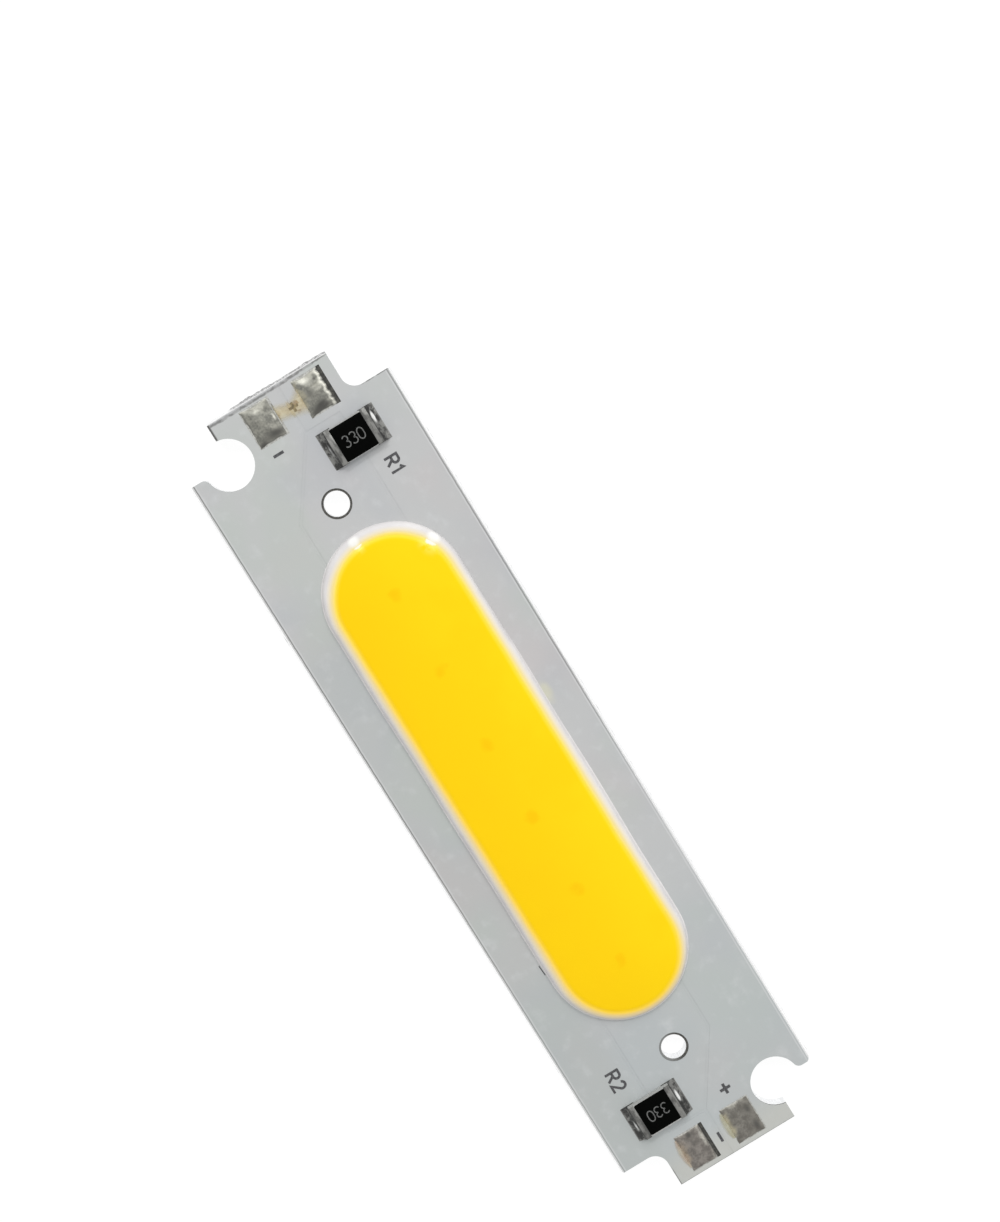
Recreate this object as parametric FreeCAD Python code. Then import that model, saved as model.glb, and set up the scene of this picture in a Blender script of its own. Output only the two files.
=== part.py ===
import FreeCAD, Part

import math
import os

from FreeCAD import Vector

# A chip-on-board LED module for 12 V, in millimetres. X runs along the board, from resistor 1 to resistor 2,
# Y runs across it and Z points up, out of the lit face. The origin is at the middle of the underside.
# The board is an aluminium plate with an insulating layer, copper, and white lacquer on top. Six dies sit
# on the middle line in two strings of three, each string in series with one resistor. The two halves of
# the copper are the same shape, turned by half a turn.

# The board's outline
board_length = 60.0
board_width = 15.0
cut_out_length = 3.0
cut_out_width = 3.05
cut_out_fillet = 1.0
notch_radius = 1.7
notch_offset = 0.15
notch_lip_radius = 0.45
chipped_corner = 0.35
hole_radius = 0.85
hole_inset = 8.7

# The V-scores along which the board was snapped from its panel
score_run = 0.2
score_depth = 0.45

# The board's layers
base_thickness = 1.0
dielectric_thickness = 0.1
copper_thickness = 0.035
mask_thickness = 0.03
mask_hole_clearance = 0.15
mask_groove_depth = 0.02
mask_groove_wall = 0.05

# The etched copper
copper_edge_clearance = 0.4
gap_width = 0.3
chain_gap_y = 2.7
gap_to_land = 0.45

# The dies, their glue, windows in the lacquer and bond wires
dies_per_string = 3
die_to_dam_end = 4.4
die_size = 0.76
die_thickness = 0.15
die_attach_thickness = 0.015
die_attach_margin = 0.04
die_to_gap = 0.9
wire_radius = 0.015
wire_pad_offset = 0.24
wire_landing_from_gap = 0.45
wire_landing_from_die = 0.9
wire_rise = 0.16
wire_drop = 0.12
wire_shoulder = 0.07
window_width = 1.2
window_end_margin = 0.3

# The silicone bead and the phosphor gel inside it
dam_to_hole = 1.8
dam_width = 9.48
dam_offset_x = -0.43
dam_offset_y = 0.18
bead_width = 1.2
bead_height = 0.53
bead_side_height = 0.32
gel_lap = 0.07
gel_shift_x = 0.21
gel_edge_height = 0.55
gel_crown_height = 0.78

# The chip resistors, of 3.2 by 2.5 mm
resistor_inset = 5.6
resistor_edge_inset = 4.3
chip_length = 3.2
chip_width = 2.5
ceramic_height = 0.45
cap_thickness = 0.04
cap_wrap = 0.43
chip_standoff = 0.01
film_thickness = 0.015
film_width = 1.9
film_under_cap = 0.15
overcoat_thickness = 0.05
overcoat_margin = 0.1
overcoat_edge_radius = 0.03

# The solder at the resistors
land_width = 2.6
land_under_cap = 0.1
fillet_reach = 0.5
fillet_height = 0.4
fillet_hollow = 0.09

# The wire pads and the solder on them
pad_length = 2.75
pad_width = 2.15
pad_inset = 1.9
r1_positive_pad_y = 2.62
r1_negative_pad_y = -1.23
r2_positive_pad_y = 1.37
r2_negative_pad_y = -2.2
bare_strip = 0.25
tin_film = 0.02
tin_waist_height = 0.13
tin_peak_height = 0.24
tin_waist_share = 0.62
tin_waist_hollow = 0.16
tin_peak_share = 0.24
tin_peak_hollow = 0.03

# How far a cutting shape runs past what it cuts, and how near two points are to count as one
overrun = 1.0
same_point = 1e-4

# Heights worked out from the layers
z_dielectric = base_thickness
z_copper = z_dielectric + dielectric_thickness
z_copper_top = z_copper + copper_thickness
z_mask_top = z_copper_top + mask_thickness
z_die_top = z_copper_top + die_attach_thickness + die_thickness
z_cap_bottom = z_mask_top + chip_standoff
z_ceramic = z_cap_bottom + cap_thickness
z_ceramic_top = z_ceramic + ceramic_height

# Places worked out from the outline
step_x = board_length / 2 - cut_out_length
tab_y = board_width / 2 - cut_out_width
hole_x = board_length / 2 - hole_inset
resistor_x = board_length / 2 - resistor_inset
resistor_y = board_width / 2 - resistor_edge_inset
pad_x = board_length / 2 - pad_inset
dam_length = 2 * (hole_x - hole_radius - dam_to_hole)
die_pitch = (dam_length - 2 * die_to_dam_end) / (2 * dies_per_string - 1)
land_start = cap_wrap + land_under_cap


def block(x0, x1, y0, y1, z0, z1):
    """A box between two opposite corners."""
    return Part.makeBox(x1 - x0, y1 - y0, z1 - z0, Vector(x0, y0, z0))


def post(x, y, radius, z0, z1):
    """An upright cylinder."""
    return Part.makeCylinder(radius, z1 - z0, Vector(x, y, z0))


def turned(shape):
    """The shape after half a turn about the board's middle."""
    copy = shape.copy()
    copy.rotate(Vector(0, 0, 0), Vector(0, 0, 1), 180)
    return copy


def moved(shape, x, y, z=0.0):
    copy = shape.copy()
    copy.translate(Vector(x, y, z))
    return copy


def face_of(points):
    """A flat face with straight sides."""
    corners = [Vector(*p) for p in points]
    return Part.Face(Part.makePolygon(corners + corners[:1]))


def upright_edges(shape, x, y):
    """The edges that stand at one point of the outline."""
    found = []
    for edge in shape.Edges:
        a, b = edge.Vertexes[0].Point, edge.Vertexes[-1].Point
        lean = math.hypot(a.x - b.x, a.y - b.y)
        if lean < same_point and math.hypot(a.x - x, a.y - y) < same_point:
            found.append(edge)
    return found


def board_plate(z0, z1, hole):
    """One full layer of the board: end tabs, rounded cut-outs, screw notches and the two small holes."""
    plate = block(-board_length / 2, board_length / 2, -board_width / 2, board_width / 2, z0, z1)
    corner = block(step_x, board_length, -board_width, -tab_y, z0, z1)
    mirrored = corner.mirror(Vector(0, 0, 0), Vector(0, 1, 0))
    notch = post(step_x, tab_y + notch_offset, notch_radius, z0, z1)
    plate = plate.cut([corner, mirrored, turned(corner), turned(mirrored), notch, turned(notch)])
    lip_y = tab_y + notch_offset + notch_radius
    lips = upright_edges(plate, step_x, lip_y) + upright_edges(plate, -step_x, -lip_y)
    plate = plate.makeFillet(notch_lip_radius, lips)
    inner = upright_edges(plate, step_x, -tab_y) + upright_edges(plate, -step_x, tab_y)
    plate = plate.makeFillet(cut_out_fillet, inner)
    plate = plate.makeChamfer(chipped_corner, upright_edges(plate, step_x, board_width / 2))
    holes = [post(hole_x, 0, hole, z0, z1), post(-hole_x, 0, hole, z0, z1)]
    return plate.cut(holes)


def score_cutters():
    """Wedges that leave the snapped edges sloping in towards both faces."""
    cutters = []
    half_w, half_l = board_width / 2, board_length / 2
    for edge_z, depth, beyond in ((z_mask_top, -score_depth, overrun), (0.0, score_depth, -overrun)):
        tip = edge_z + depth
        far = edge_z + beyond
        side = [(0, half_w - score_run, edge_z), (0, half_w, tip), (0, half_w + overrun, tip),
                (0, half_w + overrun, far), (0, half_w - score_run, far)]
        long_side = moved(face_of(side).extrude(Vector(2 * board_length, 0, 0)), -board_length, 0)
        end = [(half_l - score_run, 0, edge_z), (half_l, 0, tip), (half_l + overrun, 0, tip),
               (half_l + overrun, 0, far), (half_l - score_run, 0, far)]
        short_side = moved(face_of(end).extrude(Vector(0, 2 * board_width, 0)), 0, -board_width)
        cutters += [long_side, turned(long_side), short_side, turned(short_side)]
    return cutters


def strip(start, end, width, z0, z1):
    """A straight bar of the given width that reaches half a width past both points."""
    run = Vector(end[0] - start[0], end[1] - start[1], 0)
    bar = block(-width / 2, run.Length + width / 2, -width / 2, width / 2, z0, z1)
    bar.rotate(Vector(0, 0, 0), Vector(0, 0, 1), math.degrees(math.atan2(run.y, run.x)))
    return moved(bar, start[0], start[1])


def die_places():
    """The dies' X from the middle outwards, on the side of resistor 2."""
    return [(i + 0.5) * die_pitch for i in range(dies_per_string)]


def gap_lines(side):
    """The middle lines of the etched gaps of one half. side is -1 at resistor 1 and +1 at resistor 2."""
    if side > 0:
        split = (r2_positive_pad_y + r2_negative_pad_y) / 2
    else:
        split = -(r1_positive_pad_y + r1_negative_pad_y) / 2
    join_x = resistor_x + land_width / 2 + gap_to_land
    tongue_x = die_places()[0] - die_to_gap
    near = [(board_length / 2, split), (join_x, split), (join_x, -resistor_y), (0, -resistor_y)]
    far = [(join_x, split), (hole_x, chain_gap_y), (tongue_x, chain_gap_y), (tongue_x, -resistor_y)]
    lines = [near, far]
    for x in die_places()[1:]:
        lines.append([(x - die_to_gap, chain_gap_y), (x - die_to_gap, -resistor_y)])
    return [[(side * x, side * y) for x, y in line] for line in lines]


def gap_bars(width, z0, z1):
    """Bars along every gap of the board."""
    lines = gap_lines(-1) + gap_lines(1) + [[(0, -resistor_y), (0, resistor_y)]]
    bars = []
    for line in lines:
        for start, end in zip(line, line[1:]):
            bars.append(strip(start, end, width, z0, z1))
    return bars


def copper_islands():
    """The copper areas that are left when the gaps are etched out of the whole layer."""
    clear = copper_edge_clearance
    x1, y1 = board_length / 2 - clear, board_width / 2 - clear
    pour = block(-x1, x1, -y1, y1, z_copper, z_copper_top)
    corner = block(step_x - clear, board_length, -board_width, clear - tab_y, z_copper, z_copper_top)
    mirrored = corner.mirror(Vector(0, 0, 0), Vector(0, 1, 0))
    notch = post(step_x, tab_y + notch_offset, notch_radius + clear, z_copper, z_copper_top)
    hole = post(hole_x, 0, hole_radius + clear, z_copper, z_copper_top)
    voids = [corner, mirrored, notch, hole]
    voids += [turned(v) for v in voids]
    pour = pour.cut(voids + gap_bars(gap_width, z_copper, z_copper_top))
    last_x = die_places()[-1]
    places = {
        "copper_positive": (0, (y1 + resistor_y) / 2),
        "copper_negative": (0, -(y1 + resistor_y) / 2),
        "copper_feed_r1": (-last_x, 0),
        "copper_return_r2": (last_x, 0),
    }
    for i, x in enumerate(die_places()[:-1]):
        inner, outer = dies_per_string - i, dies_per_string + 1 + i
        places[f"copper_link_{inner - 1}_{inner}"] = (-x, 0)
        places[f"copper_link_{outer}_{outer + 1}"] = (x, 0)
    islands = {}
    for name, (x, y) in places.items():
        probe = Vector(x, y, (z_copper + z_copper_top) / 2)
        islands[name] = next(s for s in pour.Solids if s.isInside(probe, same_point, False))
    return islands


def pads():
    """Each wire pad's middle, and whether a bare strip shows beside its solder."""
    return {
        "solder_positive_r1_end": (-pad_x, r1_positive_pad_y, True),
        "solder_negative_r1_end": (-pad_x, r1_negative_pad_y, False),
        "solder_positive_r2_end": (pad_x, r2_positive_pad_y, False),
        "solder_negative_r2_end": (pad_x, r2_negative_pad_y, True),
    }


def openings():
    """The windows in the lacquer: four wire pads, four resistor lands and one at each die."""
    top = z_mask_top + overrun
    cuts = []
    for x, y, _ in pads().values():
        cuts.append(block(x - pad_length / 2, x + pad_length / 2, y - pad_width / 2, y + pad_width / 2,
                          z_copper, top))
    for end in (-1, 1):
        y0 = end * (chip_length / 2 - land_start)
        y1 = end * (chip_length / 2 + fillet_reach)
        land = block(-land_width / 2, land_width / 2, min(y0, y1), max(y0, y1), z_copper, top)
        cuts += [moved(land, resistor_x, -resistor_y), moved(land, -resistor_x, resistor_y)]
    for x in die_places():
        x0 = x - die_to_gap - wire_landing_from_gap - window_end_margin
        x1 = x + wire_landing_from_die + window_end_margin
        window = block(x0, x1, -window_width / 2, window_width / 2, z_copper, top)
        cuts += [window, turned(window)]
    return cuts


def solder_mask(copper):
    """White lacquer over the copper and in its gaps, where its surface dips."""
    blank = board_plate(z_copper, z_mask_top, hole_radius + mask_hole_clearance)
    groove_width = gap_width - 2 * mask_groove_wall
    grooves = gap_bars(groove_width, z_mask_top - mask_groove_depth, z_mask_top + overrun)
    return blank.cut(list(copper.values()) + openings() + grooves + score_cutters())


def stadium(section, straight):
    """Carries a half section, drawn in the YZ plane at positive Y, round a stadium of that straight."""
    start, along = Vector(-straight / 2, 0, 0), Vector(straight, 0, 0)
    placed = moved(section, -straight / 2, 0)
    side = placed.extrude(along)
    end = placed.revolve(start, Vector(0, 0, 1), 180)
    return side.multiFuse([end, turned(side), turned(end)]).removeSplitter()


def bead_section():
    """Half a round bead standing on the lacquer, with a foot that fills the lacquer's grooves."""
    outer = dam_width / 2
    inner = outer - bead_width
    z_low, z_side = z_mask_top - mask_groove_depth, z_mask_top + bead_side_height
    arch = Part.Arc(Vector(0, inner, z_side), Vector(0, (inner + outer) / 2, z_mask_top + bead_height),
                    Vector(0, outer, z_side))
    foot = Part.makePolygon([Vector(0, outer, z_side), Vector(0, outer, z_low), Vector(0, inner, z_low),
                             Vector(0, inner, z_side)])
    return Part.Face(Part.Wire([arch.toShape()] + foot.Edges))


def silicone_dam(mask):
    ring = stadium(bead_section(), dam_length - dam_width)
    return moved(ring, dam_offset_x, dam_offset_y).cut(mask)


def gel_section():
    """Half of the gel's section: a low dome from the crown down to the rim, and straight down below it."""
    rim = (dam_width - bead_width) / 2 + gel_lap
    z_rim, z_crown = z_mask_top + gel_edge_height, z_mask_top + gel_crown_height
    sag = z_crown - z_rim
    radius = (rim * rim + sag * sag) / (2 * sag)
    middle = Vector(0, rim / 2, z_crown - radius + math.sqrt(radius ** 2 - rim ** 2 / 4))
    crown, edge = Vector(0, 0, z_crown), Vector(0, rim, z_rim)
    low_out, low_mid = Vector(0, rim, z_copper), Vector(0, 0, z_copper)
    edges = [Part.Arc(crown, middle, edge).toShape(), Part.LineSegment(edge, low_out).toShape(),
             Part.LineSegment(low_out, low_mid).toShape(), Part.LineSegment(low_mid, crown).toShape()]
    return Part.Face(Part.Wire(edges))


def phosphor_gel(around):
    """The gel fills everything inside the bead round the lacquer, copper, dies, glue and wires."""
    blank = stadium(gel_section(), dam_length - dam_width)
    filled = moved(blank, dam_offset_x + gel_shift_x, dam_offset_y).cut(around)
    return max(filled.Solids, key=lambda s: s.Volume)


def bond_wire(x_die, x_land):
    """A six-sided gold wire: up from the die's pad, over a shoulder, down a slope and onto the copper."""
    shoulder = math.copysign(wire_shoulder, x_land - x_die)
    z_peak = z_die_top + wire_rise
    points = [(x_die, z_die_top), (x_die, z_peak - wire_shoulder), (x_die + shoulder, z_peak),
              (x_land, z_copper_top + wire_drop), (x_land, z_copper_top)]
    path = Part.makePolygon([Vector(x, 0, z) for x, z in points])
    angles = [math.radians(60 * i) for i in range(6)]
    ring = face_of([(x_die + wire_radius * math.cos(a), wire_radius * math.sin(a), z_die_top)
                    for a in angles])
    mitred = 1
    return path.makePipeShell([ring.OuterWire], True, False, mitred)


def die_parts():
    """The six dies with glue and wires. Each die stands on one copper area and is wired to the next."""
    parts = {}
    for i, x in enumerate(die_places()):
        half_glue = die_size / 2 + die_attach_margin
        glue = block(x - half_glue, x + half_glue, -half_glue, half_glue,
                     z_copper_top, z_copper_top + die_attach_thickness)
        die = block(x - die_size / 2, x + die_size / 2, -die_size / 2, die_size / 2,
                    z_copper_top + die_attach_thickness, z_die_top)
        own = bond_wire(x + wire_pad_offset, x + wire_landing_from_die)
        across = bond_wire(x - wire_pad_offset, x - die_to_gap - wire_landing_from_gap)
        first, second = dies_per_string - i, dies_per_string + 1 + i
        parts[f"led_die_{first}"] = turned(die)
        parts[f"led_die_{second}"] = die
        parts[f"die_attach_{first}"] = turned(glue)
        parts[f"die_attach_{second}"] = glue
        parts[f"anode_wire_{first}"] = turned(own)
        parts[f"cathode_wire_{first}"] = turned(across)
        parts[f"anode_wire_{second}"] = across
        parts[f"cathode_wire_{second}"] = own
    return parts


def resistor():
    """A chip resistor about its own middle: ceramic, resistive film, black overcoat and two end caps."""
    half = chip_length / 2
    half_w = chip_width / 2
    ceramic = block(-half_w, half_w, cap_thickness - half, half - cap_thickness, z_ceramic, z_ceramic_top)
    film_end = half - cap_wrap + film_under_cap
    film = block(-film_width / 2, film_width / 2, -film_end, film_end, z_ceramic_top,
                 z_ceramic_top + film_thickness)
    coat = block(overcoat_margin - half_w, half_w - overcoat_margin, cap_wrap - half, half - cap_wrap,
                 z_ceramic_top, z_ceramic_top + overcoat_thickness)
    rim = [e for e in coat.Edges if min(v.Z for v in e.Vertexes) > z_ceramic_top + same_point]
    coat = coat.makeFillet(overcoat_edge_radius, rim).cut(film)
    cap = block(-half_w, half_w, half - cap_wrap, half, z_cap_bottom, z_ceramic_top + cap_thickness)
    cap = cap.cut([ceramic, film])
    return {"body": ceramic, "film": film, "overcoat": coat, "cap": cap}


def solder_fillet():
    """Solder under the end cap at positive Y and up its end, with a hollow slope down to the land's edge."""
    end = chip_length / 2
    inner, outer = end - land_start, end + fillet_reach
    top = Vector(0, end, z_cap_bottom + fillet_height)
    toe = Vector(0, outer, z_mask_top)
    normal = Vector(0, -fillet_height, -fillet_reach).normalize()
    middle = (top + toe) * 0.5 + normal * fillet_hollow
    corners = [toe, Vector(0, outer, z_copper_top), Vector(0, inner, z_copper_top),
               Vector(0, inner, z_cap_bottom), Vector(0, end, z_cap_bottom), top]
    edges = [Part.LineSegment(a, b).toShape() for a, b in zip(corners, corners[1:])]
    edges.append(Part.Arc(top, middle, toe).toShape())
    section = moved(Part.Face(Part.Wire(edges)), -land_width / 2, 0)
    return section.extrude(Vector(land_width, 0, 0))


def resistor_parts():
    """Both resistors and their solder. Resistor 1 is resistor 2 after half a turn of the board."""
    pieces = resistor()
    joint = solder_fillet()
    parts = {}
    for name in ("body", "film", "overcoat"):
        piece = moved(pieces[name], resistor_x, -resistor_y)
        parts[f"resistor_1_{name}"] = turned(piece)
        parts[f"resistor_2_{name}"] = piece
    for kind, piece in (("resistor_{}_cap_{}", pieces["cap"]), ("solder_r{}_{}", joint)):
        inner = moved(piece, resistor_x, -resistor_y)
        outer = moved(turned(piece), resistor_x, -resistor_y)
        parts[kind.format(1, "inner")] = turned(inner)
        parts[kind.format(1, "outer")] = turned(outer)
        parts[kind.format(2, "inner")] = inner
        parts[kind.format(2, "outer")] = outer
    return parts


def hollow_ring(half_x, half_y, hollow, z):
    """A four-sided outline whose sides bend in by the hollow."""
    corners = [(half_x, half_y), (-half_x, half_y), (-half_x, -half_y), (half_x, -half_y)]
    middles = [(0, half_y - hollow), (hollow - half_x, 0), (0, hollow - half_y), (half_x - hollow, 0)]
    edges = []
    for i, middle in enumerate(middles):
        a, b = corners[i], corners[(i + 1) % 4]
        edges.append(Part.Arc(Vector(*a, z), Vector(*middle, z), Vector(*b, z)).toShape())
    return Part.Wire(edges)


def tinned_pad(x, y, bare):
    """A film of solder over the pad, drawn up to a low peak with ridges from its corners."""
    width = pad_width - (bare_strip if bare else 0.0)
    y_mid = y - (pad_width - width) / 2
    half_x, half_y = pad_length / 2, width / 2
    z_film = z_copper_top + tin_film
    film = block(-half_x, half_x, -half_y, half_y, z_copper_top, z_film)
    foot = Part.makePolygon([Vector(half_x, half_y, z_film), Vector(-half_x, half_y, z_film),
                             Vector(-half_x, -half_y, z_film), Vector(half_x, -half_y, z_film),
                             Vector(half_x, half_y, z_film)])
    waist = hollow_ring(half_x * tin_waist_share, half_y * tin_waist_share, tin_waist_hollow,
                        z_film + tin_waist_height)
    peak = hollow_ring(half_x * tin_peak_share, half_y * tin_peak_share, tin_peak_hollow,
                       z_film + tin_peak_height)
    mound = Part.makeLoft([foot, waist, peak], True, False)
    return moved(film.fuse(mound), x, y_mid)


def build():
    scores = score_cutters()
    parts = {
        "aluminium_base": board_plate(0, base_thickness, hole_radius).cut(scores),
        "dielectric_layer": board_plate(z_dielectric, z_copper, hole_radius).cut(scores),
    }
    copper = copper_islands()
    mask = solder_mask(copper)
    dam = silicone_dam(mask)
    dies = die_parts()
    parts.update(copper)
    parts.update(dies)
    parts["solder_mask"] = mask
    parts["silicone_dam"] = dam
    parts["phosphor_gel"] = phosphor_gel([mask, dam] + list(copper.values()) + list(dies.values()))
    parts.update(resistor_parts())
    for name, (x, y, bare) in pads().items():
        parts[name] = tinned_pad(x, y, bare)
    return parts


def write(parts):
    os.makedirs("parts", exist_ok=True)
    for name, shape in sorted(parts.items()):
        if len(shape.Solids) != 1:
            print(f"{name}: {len(shape.Solids)} solids")
        shape.Solids[0].exportStep(f"parts/{name}.step")
    print(f"{len(parts)} parts written")


write(build())
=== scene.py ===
# %% [markdown]
# # A chip-on-board LED strip, from solids to a portrait
#
# The part is a small white circuit board with a long pill of yellow phosphor gel held in a bead of white
# silicone. A black chip resistor and two tinned wire pads sit at each end. The solids come ready made, in
# metres, with the board's underside on the floor. This lesson gives them their finishes, and swaps the soft
# and melted pieces, which no plain solid does justice, for surfaces worked out with numpy.

# %% Load the solids
import math

import bmesh
import bpy
import numpy as np
from mathutils import Matrix, Vector


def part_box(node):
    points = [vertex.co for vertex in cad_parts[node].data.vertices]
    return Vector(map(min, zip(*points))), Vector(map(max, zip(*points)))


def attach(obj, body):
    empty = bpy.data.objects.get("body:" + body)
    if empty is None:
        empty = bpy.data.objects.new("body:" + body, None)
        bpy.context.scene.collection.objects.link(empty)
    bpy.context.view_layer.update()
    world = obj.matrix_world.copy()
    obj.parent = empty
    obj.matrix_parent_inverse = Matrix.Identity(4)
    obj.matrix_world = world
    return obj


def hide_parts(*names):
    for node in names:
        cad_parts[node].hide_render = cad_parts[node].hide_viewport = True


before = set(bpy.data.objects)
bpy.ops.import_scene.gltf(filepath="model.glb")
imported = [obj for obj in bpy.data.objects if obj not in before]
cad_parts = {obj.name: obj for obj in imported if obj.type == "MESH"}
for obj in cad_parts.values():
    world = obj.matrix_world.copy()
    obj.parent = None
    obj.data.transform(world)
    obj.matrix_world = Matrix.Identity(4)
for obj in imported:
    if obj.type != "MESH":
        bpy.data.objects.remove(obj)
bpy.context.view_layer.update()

MM = 0.001


def box_mm(node):
    """A solid's lowest and highest corner in millimetres."""
    low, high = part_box(node)
    return np.array(low) / MM, np.array(high) / MM


half_length, half_width = box_mm("aluminium_base")[1][:2]
lacquer_top = box_mm("solder_mask")[1][2]
copper_top = box_mm("copper_positive")[1][2]
print(f"{len(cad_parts)} solids, board {2 * half_length:.0f} by {2 * half_width:.0f} mm")

# %% [markdown]
# ## The camera
#
# The board was photographed from above and a little to one side, over the end with resistor 1, so that end
# looks a touch larger. A camera can be turned with three angles, but a view that was worked out from
# measured points is easier to write as where it stands, the point it looks at and the direction on the
# board that is level in the picture. The other axes follow from two cross products.

# %% Place the camera
camera_place = Vector((-25.69, 6.99, 130.065)) * MM
looks_at = Vector((-9.868, 5.338, 1.165)) * MM
level_in_picture = Vector((0.51905, 0.85311, 0.05278))
lens_mm = 58.92
sensor_mm = 36.0

ahead = (looks_at - camera_place).normalized()
above = level_in_picture.cross(ahead).normalized()
level = ahead.cross(above)
lens = bpy.data.cameras.new("portrait lens")
lens.lens = lens_mm
lens.sensor_width = sensor_mm
lens.clip_start = 0.005
lens.clip_end = 20.0
camera = bpy.data.objects.new("portrait camera", lens)
bpy.context.scene.collection.objects.link(camera)
turn = Matrix((level, above, -ahead)).transposed()
camera.matrix_world = Matrix.Translation(camera_place) @ turn.to_4x4()
bpy.context.scene.camera = camera
print("camera stands", round(camera_place.z / MM), "mm above the floor")

# %% [markdown]
# ## Shader sums as Python
#
# A material that varies over a surface is a sum of masks and noises. Wiring it by hand hides the sum, so
# one small class stands for a node's output and adds a Math node for each operator. All nodes come from one
# method of a second class, and a third adds what every finish here needs: noises, masks, and colours laid
# over others.


# %% A number on a surface
class Field:
    """A node's output: a colour, a vector, or a number that varies over a surface, with its sums."""

    def __init__(self, nodes, socket):
        self.nodes = nodes
        self.socket = socket

    def combine(self, operation, first, second):
        return self.nodes.node("ShaderNodeMath", {"operation": operation}, {0: first, 1: second})

    def __add__(self, other):
        return self.combine("ADD", self, other)

    def __radd__(self, other):
        return self.combine("ADD", other, self)

    def __sub__(self, other):
        return self.combine("SUBTRACT", self, other)

    def __rsub__(self, other):
        return self.combine("SUBTRACT", other, self)

    def __mul__(self, other):
        return self.combine("MULTIPLY", self, other)

    def __rmul__(self, other):
        return self.combine("MULTIPLY", other, self)

    def __abs__(self):
        return self.combine("ABSOLUTE", self, 0.0)

    def least(self, other):
        return self.combine("MINIMUM", self, other)

    def most(self, other):
        return self.combine("MAXIMUM", self, other)

    def hypotenuse(self, other):
        """The long side of a right triangle with these two short sides."""
        corner = self.nodes.node("ShaderNodeCombineXYZ", {}, {0: self, 1: other})
        return self.nodes.node("ShaderNodeVectorMath", {"operation": "LENGTH"}, {0: corner}, out="Value")


print("numbers on a surface can be added, taken away, multiplied and compared")


# %% One method for every node
class Nodes:
    """The nodes of one material or of the world."""

    def __init__(self, owner):
        owner.use_nodes = True
        self.owner = owner
        self.tree = owner.node_tree
        self.tree.nodes.clear()

    def node(self, kind, settings=None, inputs=None, out=0):
        """Adds a node, gives it its settings and then its inputs, and returns one of its outputs."""
        made = self.tree.nodes.new(kind)
        for name, value in (settings or {}).items():
            setattr(made, name, value)
        for name, value in (inputs or {}).items():
            if isinstance(value, Field):
                self.tree.links.new(value.socket, made.inputs[name])
            else:
                made.inputs[name].default_value = value
        return Field(self, made.outputs[out])

    def split(self, vector):
        """The three numbers of a vector."""
        first = self.node("ShaderNodeSeparateXYZ", inputs={0: vector})
        return [Field(self, socket) for socket in first.socket.node.outputs]

    def close(self, shader, output="ShaderNodeOutputMaterial"):
        """Ends the nodes with a shader, and returns the material or world that they belong to."""
        end = self.tree.nodes.new(output)
        self.tree.links.new(shader.socket, end.inputs["Surface"])
        return self.owner


print("every node comes from", Nodes.node.__name__)


# %% Noises, masks and colours
def screen(red, green, blue):
    """The linear colour that shows as these values from 0 to 255, by the screen's own curve."""
    linear = [((c / 255 + 0.055) / 1.055) ** 2.4 for c in (red, green, blue)]
    return (*linear, 1.0)


class Finish(Nodes):
    """A new material. Lengths are in millimetres. A colour is three values from 0 to 255, as it shows."""

    def __init__(self, name):
        super().__init__(bpy.data.materials.new(name))

    def place(self):
        """The piece's own coordinates."""
        raw = self.node("ShaderNodeTexCoord", out="Object")
        return self.node("ShaderNodeVectorMath", {"operation": "SCALE"}, {0: raw, "Scale": 1 / MM})

    def mark(self, name):
        """A number that the mesh carries at each of its points."""
        return self.node("ShaderNodeAttribute", {"attribute_name": name}, out="Fac")

    def noise(self, size, detail=2.0, stretch=(1.0, 1.0, 1.0), start=0.0):
        """Cloudy noise from 0 to 1 with lumps of that size, drawn out along an axis by its stretch."""
        rate = [1 / (size * s) for s in stretch]
        scaled = self.node("ShaderNodeVectorMath", {"operation": "MULTIPLY"}, {0: self.place(), 1: rate})
        moved = self.node("ShaderNodeVectorMath", {"operation": "ADD"}, {0: scaled, 1: [start] * 3})
        return self.node("ShaderNodeTexNoise", {}, {"Vector": moved, "Scale": 1.0, "Detail": detail})

    def rise(self, value, low, high):
        """0 below low, 1 above high and an even S between them."""
        return self.node("ShaderNodeMapRange", {"interpolation_type": "SMOOTHSTEP"},
                         {0: value, 1: low, 2: high, 3: 0.0, 4: 1.0})

    def fall(self, value, low, high):
        """1 below low, 0 above high and an even S between them."""
        return 1.0 - self.rise(value, low, high)

    def within(self, value, low, high, soft):
        """1 between low and high, falling to 0 over a soft margin inside both."""
        return self.rise(value, low, low + soft) * self.fall(value, high - soft, high)

    def near(self, spot, low, high):
        """1 within low millimetres of a spot, 0 beyond high."""
        ends = {0: self.place(), 1: spot}
        away = self.node("ShaderNodeVectorMath", {"operation": "DISTANCE"}, ends, out="Value")
        return self.fall(away, low, high)

    def blend(self, first, second, mask):
        """One colour where the mask is 0 and the other where it is 1."""
        first, second = [screen(*c) if isinstance(c, tuple) else c for c in (first, second)]
        return self.node("ShaderNodeMix", {"data_type": "RGBA"}, {0: mask, 6: first, 7: second}, out=2)

    def layers(self, tint, coats):
        """A colour with others laid over it in turn, each through its own mask."""
        for colour, mask in coats:
            tint = self.blend(tint, colour, mask)
        return tint

    def relief(self, height, strength=1.0):
        """A surface normal tilted by a height."""
        return self.node("ShaderNodeBump", {}, {"Height": height, "Distance": MM, "Strength": strength})

    def surface(self, sockets):
        """Ends the material with one principled shader."""
        return self.close(self.node("ShaderNodeBsdfPrincipled", {}, sockets))


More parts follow.
